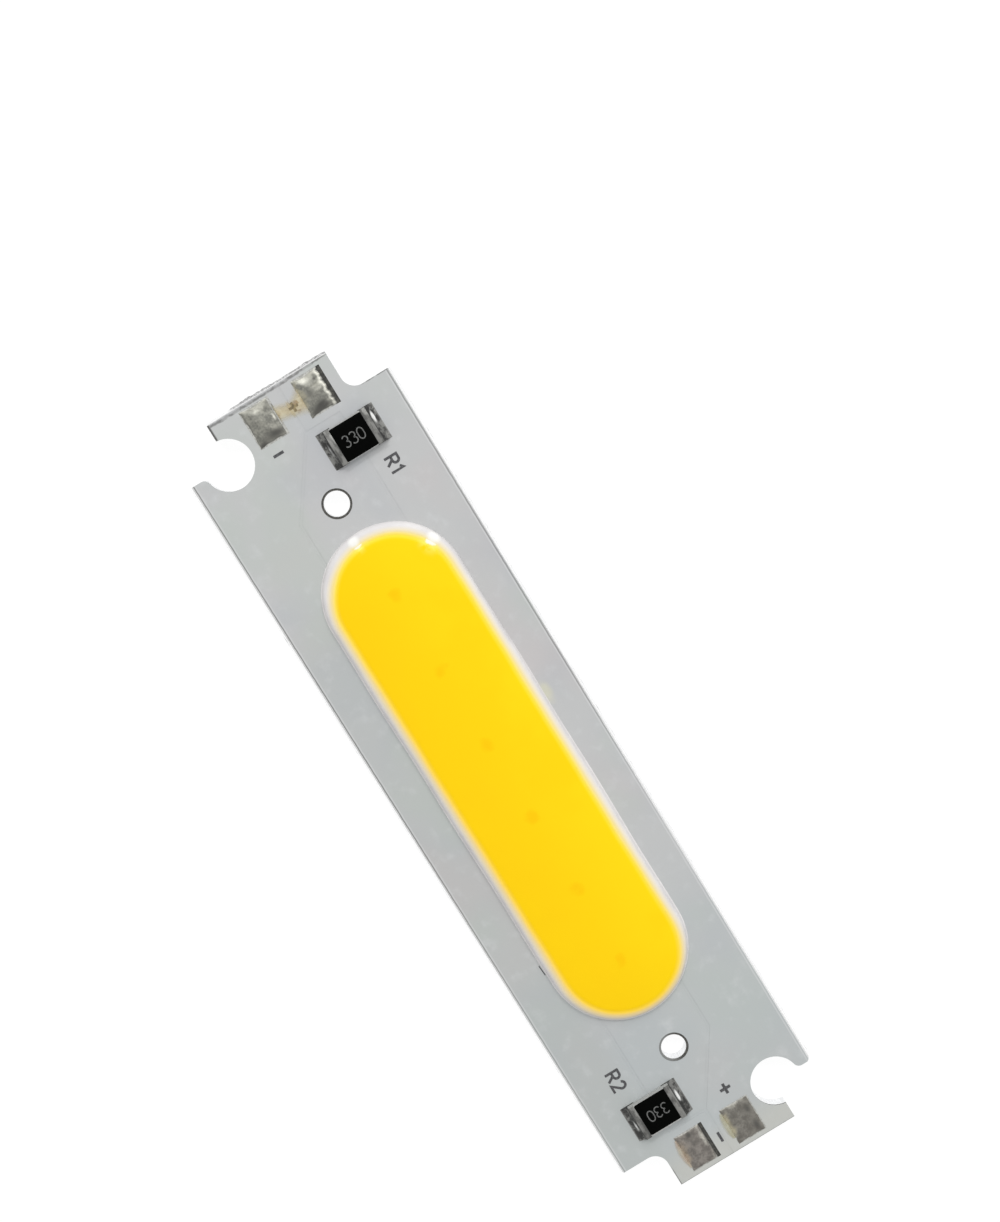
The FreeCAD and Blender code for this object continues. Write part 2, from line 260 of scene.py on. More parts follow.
print("mid grey is", [round(value, 3) for value in screen(128, 128, 128)[:3]], "as light")

# %% [markdown]
# ## Light and ground
#
# The photograph is a cut-out on pure white, lit softly from the upper side of the picture, with two small
# glints on the gel's rim. A wide softbox gives the soft shadows, two small ones give the glints on the
# gel's coat, over painted highlights in the gel's and the bead's colours, and the world fills the rest.
# Their shares add up to one, so a colour renders as it is written. The white ground is seen as white only
# by the camera, by gloss and through glass, while the floor keeps a faint shadow.

# %% Set up the light
sky_share = 0.62
lamp_distance = 0.6
white = (1.0, 1.0, 1.0, 1.0)


def seen_directly(nodes):
    """1 for rays from the camera, from a gloss or through glass, 0 for the light that fills the scene."""
    path = nodes.node("ShaderNodeLightPath").socket.node.outputs
    rays = [Field(nodes, path[f"Is {kind} Ray"]) for kind in ("Camera", "Glossy", "Transmission")]
    return rays[0].most(rays[1]).most(rays[2])


def softbox(name, towards, size, share):
    """A square lamp that gives a white card facing up its share of full white.

    Watts are share x pi x pi x distance squared, over the cosine of its angle from straight overhead."""
    direction = Vector(towards).normalized()
    lamp = bpy.data.lights.new(name, "AREA")
    lamp.size = size
    lamp.energy = share * math.pi ** 2 * lamp_distance ** 2 / direction.z
    box = bpy.data.objects.new(name, lamp)
    box.location = direction * lamp_distance
    box.rotation_euler = direction.to_track_quat("Z", "Y").to_euler()
    bpy.context.scene.collection.objects.link(box)
    print(name, "gives", round(lamp.energy, 2), "W")


world = bpy.data.worlds.new("soft studio")
bpy.context.scene.world = world
sky = Nodes(world)
fill = sky.node("ShaderNodeBackground", {}, {"Color": white, "Strength": sky_share})
backdrop = sky.node("ShaderNodeBackground", {}, {"Color": white, "Strength": 1.0})
sky.close(sky.node("ShaderNodeMixShader", {}, {0: seen_directly(sky), 1: fill, 2: backdrop}),
          "ShaderNodeOutputWorld")
softbox("window", (-0.62, 0.46, 0.64), 0.36, 0.18)
softbox("right lamp", (-0.29, 0.64, 0.71), 0.07, 0.10)
softbox("left lamp", (-0.69, -0.08, 0.72), 0.07, 0.10)
bpy.context.scene.view_settings.view_transform = "Standard"

# %% Lay the floor
floor_half = 1.0
floor_z = -0.02 * MM


def floor_finish():
    """Matt pale grey for the light, nearly white for what sees it directly, and nothing from below."""
    f = Finish("pale floor")
    matt = f.node("ShaderNodeBsdfDiffuse", {}, {"Color": screen(235, 235, 235)})
    bright = f.node("ShaderNodeEmission", {}, {"Color": white, "Strength": 1.08})
    lit = f.node("ShaderNodeMixShader", {}, {0: seen_directly(f) * 0.85, 1: matt, 2: bright})
    clear = f.node("ShaderNodeBsdfTransparent")
    under = f.node("ShaderNodeNewGeometry", out="Backfacing")
    return f.close(f.node("ShaderNodeMixShader", {}, {0: under, 1: lit, 2: clear}))


corners = [(x * floor_half, y * floor_half, floor_z) for x, y in ((-1, -1), (1, -1), (1, 1), (-1, 1))]
mesh = bpy.data.meshes.new("floor")
mesh.from_pydata(corners, [], [(0, 1, 2, 3)])
mesh.materials.append(floor_finish())
floor = bpy.data.objects.new("floor", mesh)
bpy.context.scene.collection.objects.link(floor)
print("the floor is", 2 * floor_half, "m wide")

# %% [markdown]
# ## The lacquer
#
# White solder mask on a board like this is never one grey. It drifts between cool and warm, is thin and
# glossy over the copper's edges, and ends in a dark, ragged line where the board was snapped along its
# scores. That line is partly painted shade and is strongest on the near side, away from the light, where
# the rims of the tabs' cut-outs are painted dark for their shaded walls and a painted shadow of the bead
# darkens the lacquer. A painted highlight runs along the very edge, but for the far side of the first half.
# The drift is three wide noises, and the lines are masks on distances. The distance to a cut-out with a
# rounded inner corner is the distance to its round, less the radius, which holds along its sides as well.
# At the first end the lacquer cracked a little inside the edge and left a pale strip. Beside the bead a
# touch of phosphor was wiped away.

# %% Shade the lacquer
smear_x, smear_y = -3.7, 5.10


def lacquer_drift(f, x, y, cloud):
    """Wide drifts of colour, a cooler second half with a warm last tab, a shaded side and pale clouds."""
    cool = f.rise(f.noise(7.0, start=3.0), 0.40, 0.62)
    warm = f.rise(f.noise(9.0, start=17.0), 0.45, 0.66)
    green = f.rise(f.noise(6.0, start=41.0), 0.48, 0.70)
    shaded = f.rise(y * -1.0, 3.0, 5.0) * f.rise(x, -18.0, -12.0)
    return f.layers((193, 194, 194), (
        ((184, 187, 190), cool * 0.75),
        ((196, 191, 191), warm * 0.75),
        ((188, 194, 189), green * 0.65),
        ((181, 188, 188), f.rise(x, 4.0, 24.0) * 0.6),
        ((199, 198, 190), f.rise(x, 27.0, 29.2) * 0.6),
        ((176, 181, 177), shaded * 0.35),
        ((214, 216, 217), f.rise(cloud, 0.52, 0.85) * 0.35),
    ))


print("the smear lies", smear_y, "mm from the middle line")

# %% Draw the lacquer's edges and finish it
step_x = 27.0
tab_half = 4.45
inner_round = 1.0
score_run = 0.2
crack_x = -29.66


def cut_distance(along, across):
    """How far it is to the cut-out at each corner of the board, by the distance to its rounded corner."""
    short = (step_x + inner_round - along).most(0.0)
    return short.hypotenuse((tab_half + inner_round - across).most(0.0)) - inner_round


def dark_edges_and_shade(f, x, y, side, crack, ragged):
    """How dark the lacquer's rim is: a line that fades along each side, partly a dark edge and partly
    painted shade, stronger on the near side, away from the light; a broken one at the crack; one at the far
    end; and dark rims at the cut-outs of the first and last tabs, painted shade for their walls on the near
    side, and of the first step."""
    dashes = f.rise(f.noise(0.5, detail=2.0, start=12.0), 0.42, 0.55)
    far_end = half_length - score_run - x + ragged * 0.05
    far_side = f.rise(y, -1.0, 1.0)
    near_side = 1.0 - far_side
    far_fading = 0.50 - 0.50 * f.rise(x, -6.0, 9.0)
    fading = far_fading + (0.62 - 0.32 * f.rise(x, -4.0, 24.0) - far_fading) * near_side
    # a dark line along each side, partly painted shade, stronger on the near side, away from the light
    line = f.fall(abs(side - 0.065), 0.02, 0.065) * fading
    line = line.most(f.fall(abs(crack), 0.03, 0.13) * (0.35 + 0.35 * dashes))
    line = line.most(f.fall(far_end, 0.0, 0.06) * 0.7)
    cut = cut_distance(abs(x), abs(y)) + ragged * 0.04
    first_tab = f.fall(x, -28.8, -28.5) * near_side
    first_step = f.within(x, -28.0, -26.0, 0.3) * f.rise(y, 5.3, 5.6) * dashes * 0.7
    last_tab = f.rise(x, 28.2, 28.8) * near_side * 0.7
    # dark rims at the cut-outs; on the near side they are painted shade for the tabs' shaded walls
    dark_cut_rims = f.fall(cut, 0.03, 0.10) * first_step.most(last_tab)
    return line.most(dark_cut_rims.most(f.fall(cut, 0.08, 0.19) * first_tab))


def lacquer_finish():
    f = Finish("white lacquer")
    x, y = f.split(f.place())[:2]
    cloud = f.noise(0.9, detail=4.0, start=5.0)
    ragged = f.noise(0.35, detail=4.0, start=8.0) - 0.5
    side = half_width - score_run - abs(y) + ragged * 0.05
    crack = x - crack_x + (y - 1.1).most(0.0) * 0.05 + ragged * 0.20
    unlit_rim = f.rise(y, -1.0, 1.0) * f.fall(x, -6.0, 2.0)
    smear = (x - smear_x).hypotenuse((y - smear_y) * 1.8) + (cloud - 0.5) * 0.8
    tint = f.layers(lacquer_drift(f, x, y, cloud), (
        ((212, 213, 213), f.within(side, 0.10, 0.22, 0.03) * 0.5),
        ((186, 187, 188), f.fall(crack, -0.05, 0.0)),
        ((88, 87, 85), dark_edges_and_shade(f, x, y, side, crack, ragged)),
        # a painted highlight along the very edge, left out where the rim is unlit, on the far side of the
        # first half
        ((232, 232, 232), f.fall(side, 0.0, 0.035) * (1.0 - unlit_rim)),
        ((212, 210, 186), f.fall(smear, 0.2, 1.1) * 0.7),
    ))
    grain = f.noise(0.12, detail=3.0)
    swell = f.noise(1.6, detail=2.0, start=2.0)
    return f.surface({"Base Color": tint, "Roughness": 0.40 + 0.16 * cloud, "Specular IOR Level": 0.30,
                      "Normal": f.relief(grain * 0.004 + swell * 0.02, 0.5)})


lacquer = lacquer_finish()
print("lacquer has", len(lacquer.node_tree.nodes), "nodes")

# %% [markdown]
# ## Plate, insulation and copper
#
# The aluminium plate shows at its edges and from below. Rolled sheet has long fine lines along the rolling
# direction, so its noise is stretched. The scored slopes are clean cuts with lines along the edge, the
# strip between them is torn and dull, and the routed walls carry upright cutter marks. Bare cuts mirror the
# white room, so they are nearly white. Under the lacquer lies a thin layer of filled resin, dark round the
# holes and chalky where it was scored, and copper that heat and flux have darkened where it is soldered.

# %% Make the plate's finish
score_depth = 0.45
hole_x = 21.3


def near_the_rim(f, x, y, margin):
    """1 within a margin of the board's snapped sides and ends."""
    beyond_side = f.rise(abs(y), half_width - margin, half_width - margin + 0.03)
    return beyond_side.most(f.rise(abs(x), half_length - margin, half_length - margin + 0.03))


def aluminium_finish():
    f = Finish("rolled aluminium")
    x, y, z = f.split(f.place())
    rolled = f.noise(0.10, detail=4.0, stretch=(60.0, 1.0, 1.0))
    cutter = f.noise(0.07, detail=3.0, stretch=(1.0, 1.0, 30.0), start=6.0)
    score = f.noise(0.05, detail=3.0, stretch=(60.0, 60.0, 1.0), start=9.0)
    grit = f.noise(0.16, detail=4.0, start=2.0)
    sheet = f.blend((186, 188, 190), (206, 208, 210), rolled)
    routed = f.blend((234, 235, 236), (248, 249, 250), f.rise(cutter, 0.35, 0.62))
    clean = f.blend((240, 241, 242), (254, 254, 254), f.rise(score, 0.30, 0.60))
    gritty = f.blend((118, 118, 118), (206, 206, 206), f.rise(grit, 0.38, 0.58))
    first_rim = f.rise(y, -2.9, -2.4) * f.fall(x, 0.1 - half_length, 0.3 - half_length)
    slope = f.blend(clean, gritty, first_rim * 0.85)
    torn = f.blend((112, 112, 112), (176, 176, 175), f.rise(grit, 0.42, 0.62))
    broken = f.within(z, score_depth - 0.03, lacquer_top - score_depth + 0.015, 0.03)
    scored = near_the_rim(f, x, y, 0.24)
    edge = f.blend(routed, f.blend(slope, torn, broken), scored)
    dull = broken * scored
    return f.surface({"Base Color": f.blend(sheet, edge, f.rise(z, 0.01, 0.03)), "Metallic": 1.0,
                      "Roughness": 0.26 + 0.10 * rolled + 0.25 * dull,
                      "Normal": f.relief(rolled * 0.003 + grit * 0.02 * dull, 0.6)})


aluminium = aluminium_finish()
print("made", aluminium.name)

# %% Make the finishes of resin and copper


def resin_finish():
    """Dark and gritty. It is chalky at the scores, and the second hole's ring is pale on its near side."""
    f = Finish("filled resin")
    x, y = f.split(f.place())[:2]
    grit = f.noise(0.08, detail=4.0)
    scored = near_the_rim(f, x, y, 0.23)
    pale_side = f.fall(y + (x - hole_x) * 0.2, -0.7, 0.5) * f.rise(x, 19.0, 19.5) * (1.0 - scored)
    tint = f.blend((58, 57, 54), (112, 110, 104), f.rise(grit, 0.4, 0.75))
    tint = f.layers(tint, (((236, 236, 235), scored * 0.9), ((146, 148, 147), pale_side * 0.75)))
    return f.surface({"Base Color": tint, "Roughness": 0.6 + 0.2 * grit, "Normal": f.relief(grit * 0.01)})


def copper_finish():
    """Fresh under the lacquer, and stained beyond the holes, where it is soldered."""
    f = Finish("etched copper")
    etched = f.noise(0.15, detail=4.0)
    fresh = f.blend((196, 124, 88), (218, 150, 110), etched)
    stained = f.blend((44, 44, 41), (78, 77, 71), f.rise(etched, 0.4, 0.7))
    heated = f.rise(abs(f.split(f.place())[0]), 22.0, 22.5)
    return f.surface({"Base Color": f.blend(fresh, stained, heated), "Metallic": 0.9 - 0.7 * heated,
                      "Roughness": 0.35 + 0.25 * etched, "Normal": f.relief(etched * 0.006)})


resin = resin_finish()
copper = copper_finish()
print("made", resin.name, "and", copper.name)

# %% [markdown]
# ## The chips
#
# A chip resistor is white alumina. The dies, their glue and the gold wires lie under the gel. They are
# dressed too, because a part can be taken apart.

# %% Make the chip finishes


def speckled_finish(name, dark, light, size, rough, more=None):
    """Two shades of one stuff in fine noise, which is also a shallow relief. more holds other sockets."""
    f = Finish(name)
    grain = f.noise(size, detail=4.0)
    low, high = rough
    return f.surface({"Base Color": f.blend(dark, light, f.rise(grain, 0.35, 0.70)),
                      "Roughness": low + (high - low) * grain,
                      "Normal": f.relief(grain * size * 0.05), **(more or {})})


alumina = speckled_finish("alumina", (160, 161, 159), (184, 185, 182), 0.12, (0.5, 0.7))
film = speckled_finish("resistive film", (30, 30, 32), (52, 52, 54), 0.10, (0.5, 0.7))
sapphire = speckled_finish("sapphire die", (96, 128, 160), (120, 152, 180), 0.20, (0.08, 0.2))
glue = speckled_finish("die glue", (208, 206, 196), (228, 226, 218), 0.10, (0.2, 0.35))
gold = speckled_finish("gold wire", (222, 176, 86), (244, 206, 120), 0.05, (0.18, 0.30), {"Metallic": 1.0})
print("five chip finishes")

# %% Dress the solids that keep their shape
named = {"aluminium_base": aluminium, "dielectric_layer": resin, "solder_mask": lacquer}
starts = {"copper_": copper, "led_die_": sapphire, "die_attach_": glue, "anode_wire_": gold,
          "cathode_wire_": gold}
ends = {"_body": alumina, "_film": film}
for name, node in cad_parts.items():
    found = [named[name]] if name in named else []
    found += [finish for start, finish in starts.items() if name.startswith(start)]
    found += [finish for end, finish in ends.items() if name.endswith(end)]
    if found:
        node.data.materials.clear()
        node.data.materials.append(found[0])
        print(name, "gets", found[0].name)

# %% [markdown]
# ## From grids to pieces
#
# Every soft piece here is a section carried round or along something, or a sheet whose top is a height at
# each point. Its points form a grid, computed as whole arrays. The faces join neighbours in the grid,
# points that meet are merged, and all faces are turned outwards, so every shell is closed.


# %% Join the points of a grid
def grid_faces(rows, columns, round_rows=False, round_columns=False):
    """Quads between neighbours, row by row. A round direction joins its last line to its first."""
    row = np.arange(rows if round_rows else rows - 1)[:, None]
    column = np.arange(columns if round_columns else columns - 1)[None, :]
    next_row, next_column = (row + 1) % rows, (column + 1) % columns
    corners = [row * columns + column, row * columns + next_column,
               next_row * columns + next_column, next_row * columns + column]
    return np.stack(np.broadcast_arrays(*corners), -1).reshape(-1, 4).tolist()


def sheet_with_top(across, along, top, low):
    """Points and faces of a closed sheet: a grid of tops, the same grid at the height low, and walls."""
    rows, columns = across.shape
    points = np.stack([np.stack([across, along, top], -1), np.stack([across, along, low + 0 * top], -1)])
    number = np.arange(rows * columns).reshape(rows, columns)
    rim = np.concatenate([number[0, :-1], number[:-1, -1], number[-1, :0:-1], number[:0:-1, 0]])
    walls = np.stack([rim, np.roll(rim, -1), np.roll(rim, -1) + number.size, rim + number.size], 1)
    cover = np.array(grid_faces(rows, columns))
    return points, np.concatenate([cover, cover[:, ::-1] + number.size, walls]).tolist()


def bar_faces(sections):
    """Faces of a closed bar through a stack of sections with the same number of points, ends included."""
    count, size = sections.shape[:2]
    ends = [list(range(size)), list(range((count - 1) * size, count * size))]
    return grid_faces(count, size, False, True) + ends


print("a grid of 3 by 4 points has", len(grid_faces(3, 4)), "faces")


# %% Turn points and faces into a piece
def make_piece(name, points, faces, finish, replaced=(), marks=None, crease_deg=40.0):
    """One closed piece that rides on the board. marks are named numbers at the points, for its finish."""
    mesh = bpy.data.meshes.new(name)
    mesh.from_pydata((points.reshape(-1, 3) * MM).tolist(), [], faces)
    for mark, values in (marks or {}).items():
        layer = mesh.attributes.new(mark, "FLOAT", "POINT")
        layer.data.foreach_set("value", np.ascontiguousarray(values, np.float32).ravel())
    shell = bmesh.new()
    shell.from_mesh(mesh)
    bmesh.ops.remove_doubles(shell, verts=shell.verts, dist=1e-8)
    bmesh.ops.recalc_face_normals(shell, faces=shell.faces)
    shell.to_mesh(mesh)
    shell.free()
    mesh.shade_smooth()
    mesh.set_sharp_from_angle(angle=math.radians(crease_deg))
    mesh.materials.append(finish)
    piece = bpy.data.objects.new(name, mesh)
    bpy.context.scene.collection.objects.link(piece)
    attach(piece, "root")
    if replaced:
        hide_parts(*replaced)
    print(name, len(mesh.polygons), "faces")


print("pieces are made in metres, from millimetres times", MM)


# %% Carry a section round an outline
def stadium(straight, end_steps=40, side_steps=70):
    """The nearest point of a stadium's middle line, and the way outwards, for each point of its outline.

    The ends turn half a turn about the line's two ends. Along each side the way outwards is the same."""
    turn = np.linspace(-np.pi / 2, np.pi / 2, end_steps)
    along = np.linspace(-straight / 2, straight / 2, side_steps + 2)[1:-1]
    end = np.full(end_steps, straight / 2)
    spine_x = np.concatenate([end, along[::-1], -end, along])
    out_x = np.concatenate([np.cos(turn), np.zeros(side_steps), -np.cos(turn), np.zeros(side_steps)])
    out_y = np.concatenate([np.sin(turn), np.ones(side_steps), -np.sin(turn), -np.ones(side_steps)])
    return np.stack([spine_x, np.zeros_like(spine_x)], 1), np.stack([out_x, out_y], 1)


def carry_round(spine, outwards, reach, height):
    """Points at spine + reach x outwards, at that height, for each point of the outline and the section."""
    steps = len(spine)
    reach = np.broadcast_to(reach, (steps, np.shape(reach)[-1]))
    height = np.broadcast_to(height, reach.shape)
    flat = spine[:, None] + outwards[:, None] * reach[..., None]
    return np.concatenate([flat, height[..., None]], 2)


print("a stadium outline has", len(stadium(1.0)[0]), "points")


# %% Make things uneven
def wobble(steps, size, waves, seed):
    """A closed run of ups and downs: whole waves of chance height and start, added up, scaled to size."""
    chance = np.random.default_rng(seed)
    turn = np.linspace(0, 2 * np.pi, steps, endpoint=False)[:, None]
    start = chance.uniform(0, 6.28, len(waves))
    run = (np.sin(turn * np.array(waves) + start) * chance.normal(size=len(waves))).sum(1)
    return size * run / np.abs(run).max()


def hills(x, y, size, seed, count=9):
    """Gentle lumps of about that size, from -1 to 1: waves that run in chance directions, added up."""
    chance = np.random.default_rng(seed)
    way = chance.uniform(0, 2 * np.pi, count)
    rate = 2 * np.pi / (size * chance.uniform(0.7, 1.6, count))
    start = chance.uniform(0, 6.28, count)
    phase = (x[..., None] * np.cos(way) + y[..., None] * np.sin(way)) * rate + start
    return np.sin(phase).sum(-1) / count


print("a wobble of size 1 goes up to", round(float(np.abs(wobble(100, 1.0, (2, 3), seed=0)).max()), 2))

# %% [markdown]
# ## The silicone bead
#
# A needle lays the bead in one go, so it is round-topped, stands steeply on the lacquer with a small hollow
# foot where it wets it, and is never quite even. Its section is a superellipse, fuller than an ellipse. It
# could be a curve with a round bevel, but then the section would be a full circle and the width could not
# drift. Silicone is cloudy, not opaque: near the gel it glows cream, so each point is marked with how far
# past the gel's rim it lies. That cream and the thin gel on the bead are painted in a lit tint towards the
# light and a shaded one away from it, and two painted highlights whiten the bead at the first end's
# shoulders.

# %% Measure the bead and the gel
bead_width = 1.2
fullness = 2.5
dam_low, dam_high = box_mm("silicone_dam")
bead_top = dam_high[2]
bead_height = bead_top - lacquer_top
dam_middle = (dam_low + dam_high)[:2] / 2
dam_length, dam_width = (dam_high - dam_low)[:2]
dam_straight = dam_length - dam_width
bead_line = (dam_width - bead_width) / 2
gel_low, gel_high = box_mm("phosphor_gel")
gel_middle = (gel_low + gel_high)[:2] / 2
gel_length, gel_width = (gel_high - gel_low)[:2]
gel_straight = gel_length - gel_width
gel_rim = gel_width / 2
gel_edge = lacquer_top + 0.55
print(f"over the lacquer the bead is {bead_height:.2f} mm high, the gel {gel_high[2] - lacquer_top:.2f} mm")

# %% Make the silicone
thin_gel = ((244, 216, 142), (251, 230, 146))   # in shade and in light
bead_glints = ((-16.28, 4.22, bead_top), (-18.70, -0.36, bead_top))


def light_side(f):
    """1 where the light comes from, at the first end and the far side, where thin gel and cream take their
    painted lit tints, and 0 where they take their painted shaded ones.
    """
    x, y = f.split(f.place())[:2]
    return f.rise(y - x * 0.25, -3.5, 3.5)


def silicone_finish():
    f = Finish("white silicone")
    side = light_side(f)
    past_gel = f.mark("past_gel_mm")
    cloud = f.noise(1.4, detail=3.0)
    pale = f.blend((223, 220, 220), (231, 228, 227), f.rise(cloud, 0.35, 0.65))
    # the cream, painted in a lit tint towards the light and a shaded one away from it
    cream = f.blend((234, 220, 190), (242, 231, 206), side)
    tint = f.blend(cream, pale, f.rise(past_gel, 0.16, 0.48))
    tint = f.blend(f.blend(*thin_gel, side), tint, f.rise(past_gel, -0.04, 0.26))
    # two painted highlights whiten the bead at the first end's shoulders
    glints = f.near(bead_glints[0], 0.20, 0.62).most(f.near(bead_glints[1], 0.16, 0.52))
    tint = f.blend(tint, (252, 252, 248), glints * 0.85)
    swell = f.noise(1.2, detail=1.0, start=4.0)
    return f.surface({"Base Color": tint, "Roughness": 0.42 + 0.10 * cloud, "Specular IOR Level": 0.20,
                      "Normal": f.relief(swell * 0.006)})


silicone = silicone_finish()
print("made", silicone.name)

# %% Lay the bead
foot_spread = 0.11
foot_height = 0.05
spine, outwards = stadium(dam_straight)
around = len(spine)
way = np.linspace(0, 1, 41)
angle = np.pi * (way - 0.9 * np.sin(2 * np.pi * way) / (2 * np.pi))   # more steps near the two feet
side = np.sign(np.cos(angle)) * np.abs(np.cos(angle)) ** (2 / fullness)
tall = np.abs(np.sin(angle)) ** (2 / fullness)
# the foot spreads in full, but for the far side at the first end
soft_side = np.maximum(-outwards[:, 1], (spine[:, 0] + 14) / 16).clip(0.1, 1)[:, None]
foot = foot_spread * soft_side * np.exp(-tall * bead_height / foot_height) * (side > 0)
drift = wobble(around, 0.035, (2, 3, 5, 9, 14), seed=4)[:, None]
reach = np.concatenate([bead_line + side * (bead_width / 2) + foot + side.clip(0) * drift,
                        np.full((around, 1), bead_line - bead_width / 2),
                        bead_line + bead_width / 2 + 0.08 * soft_side], 1)
bead_low = lacquer_top - 0.02
height = np.concatenate([lacquer_top + tall * bead_height, [bead_low, bead_low]])
points = carry_round(spine + dam_middle, outwards, reach, height)
beyond_end = np.maximum(np.abs(points[..., 0] - gel_middle[0]) - gel_straight / 2, 0)
past_gel = np.hypot(beyond_end, points[..., 1] - gel_middle[1]) - gel_rim
make_piece("silicone_bead", points, grid_faces(around, reach.shape[1], True, True), silicone,
           ["silicone_dam"], {"past_gel_mm": past_gel}, crease_deg=70.0)

# %% [markdown]
# ## The phosphor gel
#
# The gel is poured into the bead until it creeps over its crest, so it is a very low dome that thins to
# nothing on the white silicone. Where it is thin the white shines through, so its edge looks cream.
# Phosphor turns the blue of daylight into yellow, so the gel is given a faint painted glow in its own
# colour.
# Its body is painted a paler yellow on the far side and a deeper one on the near side, and its thin edge in
# lit and shaded tints, as painted light and shade across the dome. A finish can't know how thin the gel is,
# so the mesh carries it as a mark at each point. Cured gel is dull but for two spots at the first end's
# shoulders, where a coat catches the lamps and a pale patch with a yellow haze is painted as a highlight.

# %% Make the gel's finish
glint_spots = ((-16.22, 4.12, gel_edge), (-18.56, -0.33, gel_edge))


def over_the_dies(f):
    """A soft spot over each die, added up."""
    spots = 0.0
    for number in range(1, 7):
        low, high = box_mm(f"led_die_{number}")
        middle = (low + high)[:2] / 2
        spots = f.near((middle[0] - 0.12, middle[1] + 0.1, gel_high[2]), 0.1, 0.9) + spots
    return spots


def gel_body(f):
    """The thick gel: a paler yellow on the far side and a deeper one on the near side, as painted light and
    shade across the dome, wide patches, and darker spots over the dies.
    """
    x, y = f.split(f.place())[:2]
    patches = f.rise(f.noise(4.0, start=7.0), 0.40, 0.62)
    warp = (f.noise(0.7, detail=3.0, start=3.0) - 0.5) * 1.4
    # painted light and shade across the dome, deeper on the near side and paler on the far side
    body = f.blend((255, 210, 17), (255, 218, 20), f.rise(y - x * 0.05, -3.0, 4.6))
    return f.layers(body, (
        ((255, 212, 16), patches * 0.6),
        ((249, 190, 4), f.rise(over_the_dies(f) + warp, 0.3, 1.2) * 0.45),
    ))


def gel_finish():
    f = Finish("phosphor gel")
    rim = f.mark("rim_mm") + (f.noise(1.1, start=9.0) - 0.5) * 0.06
    side = light_side(f)
    # the thin gel's film, painted in a lit yellow towards the light and a shaded one away from it
    film = f.blend((254, 216, 84), (255, 230, 88), side)
    thin = f.blend(f.blend(*thin_gel, side), film, f.rise(rim, -0.05, 0.22))
    body = f.blend(thin, gel_body(f), f.rise(rim, 0.04, 0.46))
    right, left = glint_spots
    # painted highlight: a pale patch and a yellow haze at the two spots where the coat catches the lamps
    glint_area = f.near(right, 0.22, 0.78).most(f.near(left, 0.18, 0.64))
    glint_haze = f.near(right, 0.3, 1.3).most(f.near(left, 0.2, 1.0)) * f.rise(f.noise(0.45), 0.30, 0.60)
    glint = f.rise(glint_area + (f.noise(0.3, start=5.0) - 0.5) * 0.7, 0.30, 0.80)
    body = f.layers(body, (((255, 242, 116), glint_haze * 0.8), ((255, 254, 240), glint)))
    grain = f.noise(0.10, detail=3.0)
    swell = f.noise(2.4, detail=2.0, start=1.0)
    # the emission is a faint painted glow in the gel's own colour
    return f.surface({"Base Color": body, "Roughness": 0.40 + 0.12 * grain, "Specular IOR Level": 0.05,
                      "Coat Weight": glint_area, "Coat Roughness": 0.18, "Emission Color": body,
                      "Emission Strength": 0.04, "Normal": f.relief(swell * 0.03 + grain * 0.002)})


gel = gel_finish()
print("made", gel.name)

# %% Pour the gel
gel_film = 0.02
roll_start = 0.86
roll_drop = 0.35


def bead_surface(offset):
    """The bead's height at a distance sideways from its middle line, by the superellipse's formula."""
    share = np.clip(np.abs(offset) / (bead_width / 2), 0, 1)
    return lacquer_top + bead_height * (1 - share ** fullness) ** (1 / fullness)


def gel_top(share, flat):
    """The dome falls with the square of the way out, and more from where its rim rolls down.

    Where that would lie under the bead, the gel is a film on it that thins towards the rim."""
    dome = gel_high[2] - (gel_high[2] - gel_edge) * share ** 2
    inside = np.abs(flat[..., 0] - dam_middle[0]).clip(dam_straight / 2) - dam_straight / 2
    from_line = np.hypot(inside, flat[..., 1] - dam_middle[1]) - bead_line
    crest = bead_surface(from_line) + gel_film * (1 - share ** 12) ** 0.5
    roll = ((share - roll_start) / (1 - roll_start)).clip(0, 1) ** 3
    rolled = lacquer_top + (dome - lacquer_top) * (1 - roll * roll_drop)
    return np.where(np.abs(from_line) < bead_width / 2, np.maximum(crest, rolled), dome)


spine, outwards = stadium(gel_straight)
around = len(spine)
share = np.concatenate([np.linspace(0, 0.8, 14), np.linspace(0.8, 1.0, 16)[1:]])
edge_drift = 1 + wobble(around, 0.012, (3, 5, 8, 13, 21), seed=12)[:, None] * share ** 6
points = carry_round(spine + gel_middle, outwards, share * gel_rim * edge_drift, 0 * share)
points[..., 2] = gel_top(share, points)
low_reach = np.array([bead_line - bead_width * 0.3, 0.0])
low_height = np.full(2, copper_top)
points = np.concatenate([points, carry_round(spine + gel_middle, outwards, low_reach, low_height)], 1)
rim_mm = np.concatenate([(1 - share) * gel_rim, [0, gel_rim]])
marks = {"rim_mm": np.broadcast_to(rim_mm, points.shape[:2])}
make_piece("phosphor_pour", points, grid_faces(around, points.shape[1], True, False), gel,
           ["phosphor_gel"], marks=marks, crease_deg=80.0)

# %% [markdown]
# ## Coat, caps and solder of the resistors
#
# The middle of a chip resistor is coated in black glass, a shallow cushion that runs up to the metal. Each
# end is wrapped over the top, the end and the bottom in plated metal, and stands in a hollow fillet of
# solder. Cap and fillet each have one section that runs along the end of the chip. The cap's is a bracket
# with rounded outer corners, and where its metal turns down it gets painted shade. The fillet's changes on
# its way: it is highest in the middle and lower at the corners. Melted solder is a mirror, and a hollow one
# shows a lamp as a bright lens between dark bands. Here that lens is a painted highlight, so the fillet's
# points carry two marks: how far out they lie, and how much they belong to the painted lens.


